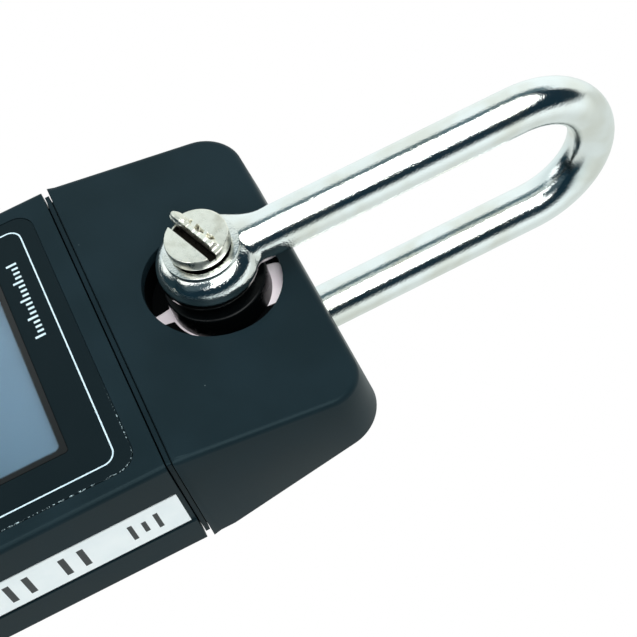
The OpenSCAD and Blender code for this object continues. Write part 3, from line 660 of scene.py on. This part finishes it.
def eye_sections(length):
    """Sections from the eye's lowest point up its bar: heights u and, for each, points (x, y) round it."""
    u = np.concatenate([-eye_r * np.cos(np.linspace(0, np.pi / 2, 40)), np.linspace(0.25, 15, 70),
        np.linspace(16, length, 12)])
    a = np.linspace(0, 2 * np.pi, COLS, endpoint=False)
    c = np.cos(a)[None, :]
    x = np.where(c > 0, reach(u, 1)[:, None], reach(u, -1)[:, None]) * c
    inside = np.clip(depth_inside(x, u[:, None]), 0, rod_r)
    y = np.sign(np.sin(a))[None, :] * np.sqrt(rod_r ** 2 - (rod_r - inside) ** 2)
    return u, x, y


def carry(centres, outward, x, y):
    """Sections set along a path in the YZ plane: centre + x along X + y along the outward direction."""
    return centres[:, None, :] + x[..., None] * np.array([1.0, 0, 0]) + y[..., None] * outward[:, None, :]


def arc(centre, radius, start, stop, n):
    """Points and outward directions on an arc in the YZ plane; 0 is -Y and 90 is +Z."""
    t = np.radians(np.linspace(start, stop, n))
    outward = np.stack([np.zeros(n), -np.cos(t), np.sin(t)], 1)
    return np.array(centre, float) + radius * outward, outward


def forged_loop(length, bend_r):
    """A U-shaped bar with an eye on each end, its pin on the X axis and its bow upwards.

    length is the height at which the bends start.
    """
    u, x, y = eye_sections(length)
    front = np.stack([0 * u, 0 * u - leg_y, u], 1)
    back = front * [1, -1, 1]
    out = np.tile([0.0, -1, 0], (len(u), 1))
    flat = leg_y - bend_r
    first, first_out = arc((0, -flat, length), bend_r, 0, 90, BEND_ROWS)
    last, last_out = arc((0, flat, length), bend_r, 90, 180, BEND_ROWS)
    centres = np.concatenate([front[:-1], first, last, back[::-1][1:]])
    outward = np.concatenate([out[:-1], first_out, last_out, -out[::-1][1:]])
    a = np.linspace(0, 2 * np.pi, COLS, endpoint=False)
    round_x, round_y = [np.tile(rod_r * f(a), (2 * BEND_ROWS, 1)) for f in (np.cos, np.sin)]
    xs = np.concatenate([x[:-1], round_x, x[::-1][1:]])
    ys = np.concatenate([y[:-1], round_y, y[::-1][1:]])
    grid = carry(centres, outward, xs, ys)
    if flat < 0.01:
        grid = np.delete(grid, len(u) - 1 + BEND_ROWS, axis=0)
    return grid


bow_rise = corners("top_shackle")[1][2] - rod_r - leg_y - pin_z
SPOT_Y = 4.1
spot = rounded([(0, -6), (6.3, -6), (6.3, -8.55), (0, -8.55)], (0.1, 0.12), 5)
top_loop = forged_loop(bow_rise, leg_y) + [0, 0, pin_z]
piece("shackle_forging", "stainless_polished", "shackle",
    [skin(top_loop), turned(spot, (0, -leg_y + SPOT_Y, pin_z))], ["top_shackle"], crease=60)

# %% [markdown]
# The yoke below is the same forging, hung the other way up, with tighter bends. A turned
# boss is welded into its bridge for the hook's shank, so the bar stops inside the boss's
# wall on both sides and the bore stays open.

# %% Lower yoke
bend_r = 7.0
boss_top = corners("thrust_washer")[0][2]
boss_bottom = corners("lower_yoke")[0][2]
bar_drop = low_pin_z - (boss_top - 0.8) + rod_r - bend_r
loop_rows = forged_loop(bar_drop, bend_r) * [1, 1, -1] + [0, 0, low_pin_z]
middle = len(loop_rows) // 2
halves = []
for rows in (loop_rows[:middle], loop_rows[middle:][::-1]):
    points, faces = skin(rows)
    halves.append((points, faces + [(np.arange(COLS) + (len(rows) - 1) * COLS).tolist()]))
bore_r, boss_r = 5.06, 9.5
ring = np.array([(bore_r + 0.4, boss_bottom), (boss_r - 0.8, boss_bottom), (boss_r, boss_bottom + 0.8),
    (boss_r, boss_top - 0.8), (boss_r - 0.8, boss_top), (bore_r + 0.4, boss_top), (bore_r, boss_top - 0.4),
    (bore_r, boss_bottom + 0.4)])
piece("yoke_forging", "stainless_polished", "yoke",
    halves + [turned(spot, (0, -leg_y + SPOT_Y, low_pin_z)), turned(ring, (0, 0, 0), "Z", loop=True)],
    ["lower_yoke"], crease=60)

# %% [markdown]
# The pin is turned, slotted and then staked: a chisel has thrown up a ragged lip along one
# side of the slot, so that it cannot back out. The head is built in slices across the slot.
# In each slice the front face is a height written as a formula, so the slot has straight
# walls, the lip is a ridge whose height wavers along it, and torn metal leaves a groove
# beside it, which the nickel's painted shade turns into a dark line. One end of the lip is folded out past
# the rim, and the other is a flat facet.

# %% Slotted pin
PIN_R = 4.0
HEAD_R = 5.22
HEAD_H = 2.3
RIM_R = 0.3
SLOT_TURN = 19.5
SLOT_V = -0.9
SLOT_DEPTH = 1.3
LIP_HEIGHT, LIP_CREST = 0.72, 1.45
TORN_DEPTH = 0.75
FACET_U, FACET_V, FACET_HEIGHT = 3.0, 1.35, 0.72
CROWN_FALL = 0.0036


def waver(t, seed):
    """A sum of sines with fixed phases, between about -1 and 1."""
    w = np.array([1.3, 2.9, 4.7, 7.9])[:, None, None]
    phase = np.random.default_rng(seed).uniform(0, 6.28, 4)[:, None, None]
    return (np.sin(w * t[None] + phase) * np.array([0.4, 0.3, 0.2, 0.1])[:, None, None]).sum(0)


def ramp(t, a, b):
    """Smooth step from 0 at a to 1 at b."""
    t = np.clip((t - a) / (b - a), 0, 1)
    return t * t * (3 - 2 * t)


def head_face(u, v, staked):
    """Height of the head's face: the slot, the staked lip beside it, a torn line and a chisel facet."""
    v = v - SLOT_V * staked
    slot = -SLOT_DEPTH * (ramp(v, -0.78, -0.6) - ramp(v, 0.5, 0.6))
    floor = slot + 0.05 * waver(3 * u + 5 * v, 3) * (slot < -0.5)
    lean = 0.22 * waver(1.3 * u, 5)
    tall = LIP_HEIGHT + 0.13 * waver(1.5 * u, 7)
    crest = LIP_CREST + lean
    lip = tall * ramp(v, 0.55, 0.84) * (1 - ramp(v, crest, crest + 0.45)) * ramp(u, 4.4, 3.6)
    torn = ramp(v, crest + 0.28, crest + 0.5) * (1 - ramp(v, crest + 0.75, crest + 1.15))
    torn = -TORN_DEPTH * torn * ramp(waver(1.6 * u + 0.6 * v, 11), -0.15, 0.25)
    torn = torn * ramp(u, 3.2, 2.4) * ramp(u, -3.4, -2.6)
    along = u - FACET_U
    facet = 1.05 - np.abs(v - FACET_V - 0.55 * along) - 0.75 * np.abs(along)
    facet = np.clip(facet, 0, FACET_HEIGHT) * (v > 0.74)
    return floor + staked * (np.maximum(lip, facet) + torn * (facet < 0.05)) - CROWN_FALL * u ** 2


def lay_on_head(rows, centre_y, centre_z):
    """Points given along the slot, across it and outwards, turned to the slot's angle and moved to a pin."""
    c, s = cos_deg(SLOT_TURN), sin_deg(SLOT_TURN)
    along, across, out = np.array([c, 0, s]), np.array([-s, 0, c]), np.array([0, -1.0, 0])
    grid = rows[..., :1] * along + rows[..., 1:2] * across + rows[..., 2:] * out
    return grid + np.array([0, centre_y, centre_z])


def pin_head(face_y, centre_z, staked):
    """The head in slices across its slot: front face, rounded rim, side, rounded rim and back in each."""
    rim = HEAD_R - RIM_R
    slices = [rim * np.sin(np.linspace(-np.pi / 2, np.pi / 2, 61))]
    for start, stop, count in ((-0.8, -0.58, 7), (0.48, 0.86, 16), (0.95, 2.75, 25)):
        slices.append(np.linspace(start, stop, count) + SLOT_V * staked)
    v = np.sort(np.concatenate(slices))
    half = np.sqrt(np.clip(rim ** 2 - v ** 2, 0, None))
    u = half[:, None] * np.linspace(-1, 1, 81)[None, :]
    vv = np.broadcast_to(v[:, None], u.shape)
    front = np.stack([u, vv, head_face(u, vv, staked)], -1)
    back = np.stack([u, vv, np.full_like(u, -HEAD_H)], -1)
    a = np.radians([15, 35, 55, 75, 90])
    bulge, fall = rim + RIM_R * np.sin(a), RIM_R * (1 - np.cos(a))
    grow = np.concatenate([bulge, bulge[::-1]]) / rim
    drop = np.concatenate([fall, HEAD_H - fall[::-1]])

    def side(end):
        edge = front[:, end]
        sink = np.minimum(edge[:, None, 2], -drop[None, :])
        return np.stack([edge[:, None, 0] * grow, edge[:, None, 1] * grow, sink], -1)

    rows = np.concatenate([front, side(-1), back[:, ::-1], side(0)[:, ::-1]], 1)
    return skin(lay_on_head(rows, face_y, centre_z))


def slotted_pin(lo, hi, centre_z, staked):
    """The head and a plain turned shank with a chamfered end."""
    y0, y1 = lo[1] + HEAD_H - 0.05, hi[1]
    r, chamfer = PIN_R, 0.8
    shank = rounded([(0, y0), (r, y0), (r, y1 - chamfer), (r - chamfer, y1), (0, y1)], (0.02, 0.1, 0.1), 4)
    return [pin_head(lo[1], centre_z, staked), turned(shank, (0, 0, centre_z))]


def tab(centre, size, seed):
    """A torn lump of metal: an ellipsoid whose radius wavers, placed along and across the slot."""
    a, b = np.linspace(0, 2 * np.pi, 40, endpoint=False), np.linspace(-np.pi / 2, np.pi / 2, 24)
    aa, bb = np.broadcast_arrays(a[None, :], b[:, None])
    r = 1 + 0.12 * waver(2 * np.sin(aa) + 3 * np.sin(bb), seed) * np.cos(bb)
    ball = np.stack([np.cos(bb) * np.cos(aa), np.cos(bb) * np.sin(aa), np.sin(bb) + 0 * aa], -1)
    lump = r[..., None] * ball * size + np.array([centre[0], centre[1], 0])
    return skin(lay_on_head(lump, centre[2], pin_z))


low_parts = slotted_pin(low_lo, low_hi, low_pin_z, 0.0)
piece("lower_pin_turned", "pin_nickel", "yoke", low_parts, ["lower_pin"], crease=32, paint="pin_nickel_low")
top_parts = slotted_pin(pin_lo, pin_hi, pin_z, 1.0)
TAB_AT, TAB_SIZE = (-4.4, 1.3 + SLOT_V, pin_lo[1] + 0.15), (2.1, 1.0, 1.0)
top_parts += [tab(TAB_AT, TAB_SIZE, 21)]
piece("top_pin_turned", "pin_nickel", "shackle", top_parts, ["top_pin"], crease=32)

# %% [markdown]
# Each end cap is a hollow wedge. Seen from the front it is a rectangle with two round outer
# corners, and its front and back faces lean towards each other. All its edges are rounded
# by 1 mm. The skin is a family of outlines: from the round window in the front face out to
# the edge, over the rounding, down the side, and the same again behind, then back inside at
# the wall's thickness, so the cap is one closed shell with real walls. A near-black tube behind
# each window stands in for the shade inside, and the groove's floor stands clear of both of its walls.

# %% End caps
cap_lo, cap_hi = corners("top_end_cap")
PIN_TO_GROOVE = 19.1
groove_z = pin_z - PIN_TO_GROOVE
GROOVE_SPAN = 76
WINDOW_R = 11.3
EYE_Z = 18.6
FRONT_SLOPE, BACK_SLOPE = np.tan(np.radians(11.7)), np.tan(np.radians(13.8))
BASE = 0.585
FRONT_LENGTH, BACK_LENGTH = 32.8, 34.0
FRONT_LAND, BACK_LAND = 1.27, 4.5
WALL = 1.8
BASE_SOFT = 0.25
MOUTH = (3, 37)


def cap_outline(length, inset, base):
    """Outline in x and z, anticlockwise from the lower left, and 1 for points that are on the base edge."""
    w, r = half_w - inset, 6.5 - inset
    top = length - inset
    t = np.radians(np.linspace(0, 90, 19))
    x0 = np.concatenate([np.linspace(-1, 1, 41) * w, np.full(20, w), w - r + r * np.cos(t),
        np.linspace(w - r, r - w, 26)[1:-1], r - w - r * np.sin(t), np.full(20, -w)])
    rise = np.linspace(base, top - r, 22)[1:-1]
    z0 = np.concatenate([np.full(41, base), rise, top - r + r * np.sin(t), np.full(24, top),
        top - r + r * np.cos(t), rise[::-1]])
    return x0, z0


ON_BASE = np.arange(len(cap_outline(FRONT_LENGTH, 0, BASE)[0])) < 41


def cap_face(z, back):
    """Y of a cap's face: level by the groove, then leaning inwards."""
    if back:
        return back_y - np.clip(z - BACK_LAND, 0, None) * BACK_SLOPE
    return front_y + np.clip(z - FRONT_LAND, 0, None) * FRONT_SLOPE


def cap_rows(back, wall):
    """Rows from the window out to the edge for one face; wall is 0 for the outer skin."""
    length = BACK_LENGTH if back else FRONT_LENGTH
    land = BACK_LAND if back else FRONT_LAND
    inward = -1 if back else 1
    soft = 1.0 if wall == 0 else 0.25
    rows = []
    x, z = cap_outline(length, wall + soft + 0.04, max(land, BASE + wall + 0.1))
    away = np.hypot(x, z - EYE_Z)
    for t in (0.0, 0.004, 0.12, 0.4, 0.75, 1.0):
        r = WINDOW_R + (away - WINDOW_R) * t
        px, pz = x * r / away, EYE_Z + (z - EYE_Z) * r / away
        py = cap_face(pz, back) + inward * (wall + (0.12 if t == 0 and wall == 0 else 0))
        rows.append(np.stack([px, py, pz], 1))
    for a in np.radians([0, 18, 36, 54, 72, 90]):
        x, z = cap_outline(length, wall + soft * (1 - np.sin(a)), BASE + wall + BASE_SOFT * (1 - np.sin(a)))
        drop = np.where(ON_BASE, BASE_SOFT, soft) * (1 - np.cos(a))
        rows.append(np.stack([x, cap_face(z, back) + inward * (wall + drop), z], 1))
    return np.array(rows)


def end_cap():
    """The cap with the groove at z = 0 and its thin end upwards."""
    outer = np.concatenate([cap_rows(False, 0), cap_rows(True, 0)[::-1]])
    inner = np.concatenate([cap_rows(True, WALL), cap_rows(False, WALL)[::-1]])
    grid = np.concatenate([outer, inner])
    points, faces = skin(grid, loop=True)
    faces = np.array(faces)
    n, half = grid.shape[1], len(cap_rows(False, 0))
    row, col = faces[:, 0] // n, faces[:, 0] % n
    first, last = MOUTH
    mouth = (col >= first) & (col < last)
    keep = ~(mouth & ((row == half - 1) | (row == 3 * half - 1)))
    c = np.arange(first, last)
    a, b, d, e = [r * n for r in (half - 1, half, 3 * half - 1, 3 * half)]
    lips = [
        np.stack([a + c, e + c, e + c + 1, a + c + 1], 1),
        np.stack([b + c, b + c + 1, d + c + 1, d + c], 1),
        np.array([[k + first for k in (a, b, d, e)], [k + last for k in (a, e, d, b)]]),
    ]
    return points, np.concatenate([faces[keep], *lips]).tolist()


def ring_outline(inset, z, radius=0.4):
    """A rounded rectangle round the housing's section, inset from its skin."""
    x1, ya, yb = half_w - inset - radius, front_y + inset + radius, back_y - inset - radius
    t = np.radians(np.linspace(0, 90, 7))
    s, c = radius * np.sin(t), radius * np.cos(t)
    px = np.concatenate([x1 + s, x1 + c, -x1 - s, -x1 - c])
    py = np.concatenate([ya - c, yb + s, yb + c, ya - s])
    return np.stack([px, py, np.full(28, float(z))], 1)


TONGUE = skin(np.array([ring_outline(1.7, 1.6), ring_outline(1.7, 0.4), ring_outline(0.85, 0.36),
    ring_outline(0.85, -0.36), ring_outline(1.7, -0.4), ring_outline(2.35, -BASE - 0.02),
    ring_outline(2.35, -7), ring_outline(3.8, -7), ring_outline(3.8, 1.6)]), loop=True)


def collar(back):
    """The near-black tube behind a window, standing in for shade; its flange on the load cell's face leaves a
    gap above and one below.
    """
    a = np.linspace(0, 2 * np.pi, 144, endpoint=False)
    degrees = (np.degrees(a) + 180) % 360 - 180
    # The flange's outline is set so that the near-black painted shade covers all but a gap above and one
    # below.
    upper = ramp(degrees, 38, 58) * (1 - ramp(degrees, 92, 100))
    lower = ramp(degrees, -102, -97) * (1 - ramp(degrees, -88, -82))
    cover = 1 - upper - lower
    lip_r = WINDOW_R - 2.78 * cover
    side = 1 if back else -1
    outer_r = WINDOW_R + 1.2
    near, far = 4.06, 4.2
    profile = ((WINDOW_R, None), (WINDOW_R, far + 0.02), (lip_r, far), (lip_r, near), (outer_r, near),
        (outer_r, None))
    rows = []
    for r, y in profile:
        x, z = r * np.cos(a), EYE_Z + r * np.sin(a)
        rows.append(np.stack([x, cap_face(z, back) - side * 1.75 if y is None else side * y + 0 * x, z], 1))
    return skin(np.array(rows), loop=True)


def placed(part, z, flip=1):
    """A part moved to height z, or mirrored there for the lower end."""
    return part[0] * [1, 1, flip] + [0, 0, z], part[1]


ENDS = (
    ("upper_cap", groove_z, 1, "top_end_cap"),
    ("lower_cap", groove_z - GROOVE_SPAN, -1, "bottom_end_cap"),
)
for name, z, flip, node in ENDS:
    shells = [placed(part, z, flip) for part in (end_cap(), TONGUE)]
    piece(name, "housing_abs", "scale_body", shells, [node], crease=30)
    # The near-black tubes are painted shade inside the windows.
    tubes = [placed(collar(back), z, flip) for back in (False, True)]
    piece(name + "_window_tubes", "bush_nylon", "scale_body", tubes, crease=30, paint="shade_window_tube")

# %% [markdown]
# Four nylon bushes centre the eyes on the load cell. Each is turned: a thick shoulder with a
# rounded rim, a spigot that sits in the cell's bore, and a bore of its own for the pin.

# %% Pin bushes
bush_end = gap_half - 0.25
spigot = corners("load_cell")[1][1] + 0.03
BUSH_BORE, SPIGOT_R, BUSH_R = 4.06, 5.97, 8.6
BUSH = rounded([(BUSH_BORE, 0.2), (SPIGOT_R, 0.2), (SPIGOT_R, spigot), (BUSH_R, spigot), (BUSH_R, bush_end),
    (BUSH_BORE, bush_end), (BUSH_BORE, 0.2)], (0.02, 0.02, 0.1, 0.45, 0.1), 6)[:-1]
bushes = [turned(BUSH * [1, side], (0, 0, z), loop=True) for z in (pin_z, low_pin_z) for side in (1, -1)]
piece("turned_bushes", "bush_nylon", "scale_body", bushes, ["pin_bushes"], crease=30)

# %% [markdown]
# The hook is forged from a bar that swells to its thickest at the bottom of the bowl and
# thins towards the tip. Its skin is a row of flattened circles carried along a centreline:
# a short bend out of the shank, a long arc round the bowl and a small outward curl. Above
# it the shank and its collar are turned, and a lug in front of the neck carries the latch.

# %% Hook
BOWL_R, NECK_R, CURL_R = 20.5, 12.0, 14.0
NECK_TURN, TIP_ANGLE, CURL_TURN = 55.0, 163.0, 22.0
SHANK_R, NECK_END_R, BOWL_BAR_R, TIP_R = 5.0, 5.5, 6.6, 3.9
FLAT = 0.88
COLLAR_R = 8.4
rivet = (corners("latch_rivet")[0] + corners("latch_rivet")[1]) / 2
RIVET_RISE = 24.2
bowl_z = rivet[2] - RIVET_RISE
neck_sin, neck_cos = sin_deg(NECK_TURN), cos_deg(NECK_TURN)
side_by = (BOWL_R * neck_cos - NECK_R * (1 - neck_cos)) / neck_sin
neck_z = BOWL_R * neck_sin + side_by * neck_cos + NECK_R * neck_sin


def hook_path():
    """Rows of x and z from the bowl's centre, direction in degrees and bar radius, from neck to tip."""
    a = np.linspace(0, NECK_TURN, 24)
    t = np.linspace(0, 1, 150)
    b = NECK_TURN - t * (NECK_TURN + 360 - TIP_ANGLE)
    c = np.linspace(0, CURL_TURN, 26)[1:]
    neck_bar = SHANK_R + (NECK_END_R - SHANK_R) * a / NECK_TURN
    neck = [NECK_R * (1 - cos_deg(a)), neck_z - NECK_R * sin_deg(a), a - 90, neck_bar]
    thickest = 0.55
    swelling = NECK_END_R + (BOWL_BAR_R - NECK_END_R) * sin_deg(90 * np.minimum(t / thickest, 1))
    thinning = BOWL_BAR_R - (BOWL_BAR_R - TIP_R) * np.clip((t - thickest) / (1 - thickest), 0, 1) ** 1.4
    bowl = [BOWL_R * cos_deg(b), BOWL_R * sin_deg(b), b - 90, np.where(t < thickest, swelling, thinning)]
    far_x, far_z = (BOWL_R + CURL_R) * cos_deg(TIP_ANGLE), (BOWL_R + CURL_R) * sin_deg(TIP_ANGLE)
    blunt = TIP_R * np.sqrt(np.clip(1 - (c / CURL_TURN) ** 5, 0, 1))
    on = TIP_ANGLE + c
    curl = [far_x - CURL_R * cos_deg(on), far_z - CURL_R * sin_deg(on), TIP_ANGLE - 90 + c, blunt]
    return np.concatenate([neck, bowl, curl], 1)


px, pz, heading, bar = (v[:, None] for v in hook_path())
q = np.linspace(0, 2 * np.pi, 72, endpoint=False)[None, :]
wide, deep = bar * np.cos(q), FLAT * bar * np.sin(q)
bent = np.stack([px - wide * sin_deg(heading), deep, pz + wide * cos_deg(heading) + bowl_z], -1)
shank_top = corners("hook_nut")[1][2] + 0.15
collar_top = boss_bottom - 0.3
stem_foot = neck_z + bowl_z - 0.6
STEM = rounded([(0, stem_foot), (SHANK_R, stem_foot), (SHANK_R, collar_top - 7), (COLLAR_R, collar_top - 4),
    (COLLAR_R, collar_top), (SHANK_R, collar_top), (SHANK_R, shank_top - 0.9), (4.1, shank_top),
    (0, shank_top)], (0.02, 0.8, 0.5, 0.4, 0.3, 0.15, 0.15), 6)
lug = rounded([(0, -2.5), (3.6, -2.5), (3.6, 2.5), (0, 2.5)], 0.5, 6)
lug_x = np.linspace(rivet[0], rivet[0] + 6, 2)
web_y, web_z = np.array([-2.2, -2.2, 2.2, 2.2]), np.array([-3.4, 3.4, 3.4, -3.4])
web = np.array([np.stack([np.full(4, x), web_y, web_z + rivet[2]], 1) for x in lug_x])
hook_parts = [skin(bent, caps=True), turned(STEM, (0, 0, 0), "Z", 72)]
hook_parts += [turned(lug, (rivet[0], 0, rivet[2]), n=48), skin(web, caps=True)]
piece("forged_hook", "stainless_polished", "swivel_hook", hook_parts, ["hook"], crease=50)

# %% [markdown]
# The keys are silicone pads moulded in one piece with their flange and plunger. Each pad is
# crowned, and its symbol is a raised mark in the same rubber: a ring, a bar and a triangle.

# %% Keys
def block_rows(w, h, r, levels):
    """Rounded rectangles stacked from the flange outwards: levels are (y, inset) pairs."""
    rows = []
    for y, inset in levels:
        x, z = round_rect(w - 2 * inset, h - 2 * inset, max(r - inset, 0.2))
        rows.append(np.stack([x, np.full(len(x), y), z], 1))
    return np.array(rows)


def symbol(kind, y):
    """A raised mark 0.12 mm high: a ring, or a solid with 3 or 4 sides."""
    if kind == "ring":
        band = [(1.15, y + 0.2), (1.15, y - 0.12), (1.5, y - 0.12), (1.5, y + 0.2)]
        return turned(band, (0, 0, 0), n=64, loop=True)
    x, z = {"bar": (np.array([-1.6, 1.6, 1.6, -1.6]), np.array([-0.25, -0.25, 0.25, 0.25])),
        "triangle": (np.array([-1.3, 1.3, 0.0]), np.array([-0.8, -0.8, 1.2]))}[kind]
    layers = [np.stack([x, np.full(len(x), level), z], 1) for level in (y + 0.2, y - 0.12)]
    return skin(np.array(layers), caps=True)


FLANGE = 1.2
CROWN = ((0.55, 0.0), (0.34, 0.1), (0.2, 0.35), (0.12, 0.8), (0.06, 1.5), (0.03, 2.3), (0.02, 3.1))
for side, kind in (("left", "ring"), ("middle", "bar"), ("right", "triangle")):
    lo, hi = corners(side + "_button")
    w, h = hi[0] - lo[0] - 2 * FLANGE, hi[2] - lo[2] - 2 * FLANGE
    crown = [(lo[1] + depth, inset) for depth, inset in CROWN]
    seat = front_y + 2.25
    pad = block_rows(w, h, 1.8, [(seat, 0), (seat - 0.05, 0)] + crown)
    base = block_rows(w + 2 * FLANGE, h + 2 * FLANGE, 3.0, [(seat + 0.45, 0), (seat, 0)])
    at = np.array([(lo[0] + hi[0]) / 2, 0, (lo[2] + hi[2]) / 2])
    stem = rounded([(0, seat), (1.2, seat), (1.2, hi[1]), (0, hi[1])], 0.05, 3)
    parts = [skin(pad, caps=True), skin(base, caps=True), turned(stem, (0, 0, 0), n=32)]
    parts.append(symbol(kind, lo[1] + 0.12))
    piece(side + "_key_pad", "key_rubber", side + "_key", [(points + at, faces) for points, faces in parts],
        [side + "_button"], crease=40)

# %% [markdown]
# The print on the overlay is a white line round the display and a row of short marks above
# the window. Both are thin raised ink, so they are very thin solids: a band between two
# rounded rectangles, and small bars.

# %% Print on the overlay and on the side tape
def flat_print(outer, inner, centre, y, thick=0.02):
    """A band between two outlines, thick mm proud of y towards the front."""
    rows = [(outer, y), (outer, y - thick), (inner, y - thick), (inner, y)]
    grid = [np.stack([x + centre[0], np.full(len(x), level), z + centre[1]], 1) for (x, z), level in rows]
    return skin(np.array(grid), loop=True)


def bars(x, z, w, h, y, thick=0.02):
    """One flat bar for each x, z, w and h given as arrays, facing the front."""
    x, z, w, h = np.broadcast_arrays(*[np.array(v, float) for v in (x, z, w, h)])
    corner = np.array([[-1, -1], [1, -1], [1, 1], [-1, 1]]) / 2
    flat = np.stack([x, z], 1)[:, None, :] + corner[None] * np.stack([w, h], 1)[:, None, :]
    layers = np.stack([np.full(flat.shape[:2], y), np.full(flat.shape[:2], y - thick)], 1)
    across, up = [np.stack([flat[..., k]] * 2, 1) for k in (0, 1)]
    points = np.stack([across, layers, up], -1).reshape(-1, 3)
    box = np.array([[0, 1, 2, 3], [7, 6, 5, 4], [0, 4, 5, 1], [1, 5, 6, 2], [2, 6, 7, 3], [3, 7, 4, 0]])
    faces = (np.arange(len(x))[:, None, None] * 8 + box[None]).reshape(-1, 4)
    return points, faces.tolist()


INK_SINK = 0.005
film_y = film_lo[1]
line_w, line_h, line_thick = 49.8, 62.6, 0.25
line_z = groove_z - 6.7 - line_h / 2
outer = round_rect(line_w + line_thick, line_h + line_thick, 2.2)
inner = round_rect(line_w - line_thick, line_h - line_thick, 1.95)
piece("display_border", "overlay_film", "scale_body",
    [flat_print(outer, inner, (0, line_z), film_y + INK_SINK)], crease=30, paint="print_white")
TICK_X, TICK_STEP, TICK_W, TICK_DROP = -18.3, 0.99, 0.42, 9.1
ticks = np.arange(17)
tall = np.where(ticks % 4 == 0, 1.8, 1.1)
tick_z = groove_z - TICK_DROP - tall / 2
tick_marks = bars(TICK_X + ticks * TICK_STEP, tick_z, TICK_W, tall, film_y + INK_SINK)
piece("display_tick_marks", "overlay_film", "scale_body", [tick_marks], crease=30, paint="print_white")

tape_lo, tape_hi = corners("side_label")
tape_x, tape_y = tape_hi[0], (tape_lo[1] + tape_hi[1]) / 2


def tape_bars(y, z, w, h):
    """Bars on the side tape: drawn like the front ones, then turned so that they face +X."""
    points, faces = bars(y, z, w, h, 0)
    return np.stack([tape_x - INK_SINK - points[:, 1], points[:, 0], points[:, 2]], 1), faces


top = tape_hi[2]
down_tape = np.array([4.4, 6.6, 8.8, 17.2, 20.4, 26.6, 29.8])
wide = np.array([4.6, 3.2, 4.6, 5.4, 5.4, 5.4, 5.4])
high = np.array([0.8, 0.8, 0.8, 1.1, 1.1, 1.1, 1.1])
piece("side_tape_marks", "label_tape", "scale_body",
    [tape_bars(tape_y, top - down_tape, wide, high)], crease=30, paint="print_black")

# %% [markdown]
# The stage is a pale round board under the scale. It is not part of the object. It is a
# turned disc with a soft edge.

# %% Floor
floor_z = cad_box[0][2] / MM - 1
BOARD_R, BOARD_THICK = 600, 6
board = rounded([(0, -BOARD_THICK), (BOARD_R, -BOARD_THICK), (BOARD_R, 0), (0, 0)], 2, 5)
points, faces = turned(board, (0, 0, floor_z), "Z", 128)
tree, shader, place = material("floor_paint", "#dcdedc", 0.6)
paint = add(tree, "TexNoise", grain(place, 3))
relief(tree, shader, paint, 0.02, 0.2)
mesh = bpy.data.meshes.new("floor")
mesh.from_pydata((points * MM).tolist(), [], faces)
floor = bpy.data.objects.new("floor", mesh)
bpy.context.scene.collection.objects.link(floor)
mesh.materials.append(finish["floor_paint"])
floor.visible_glossy = False
print("floor at", round(floor_z, 1))
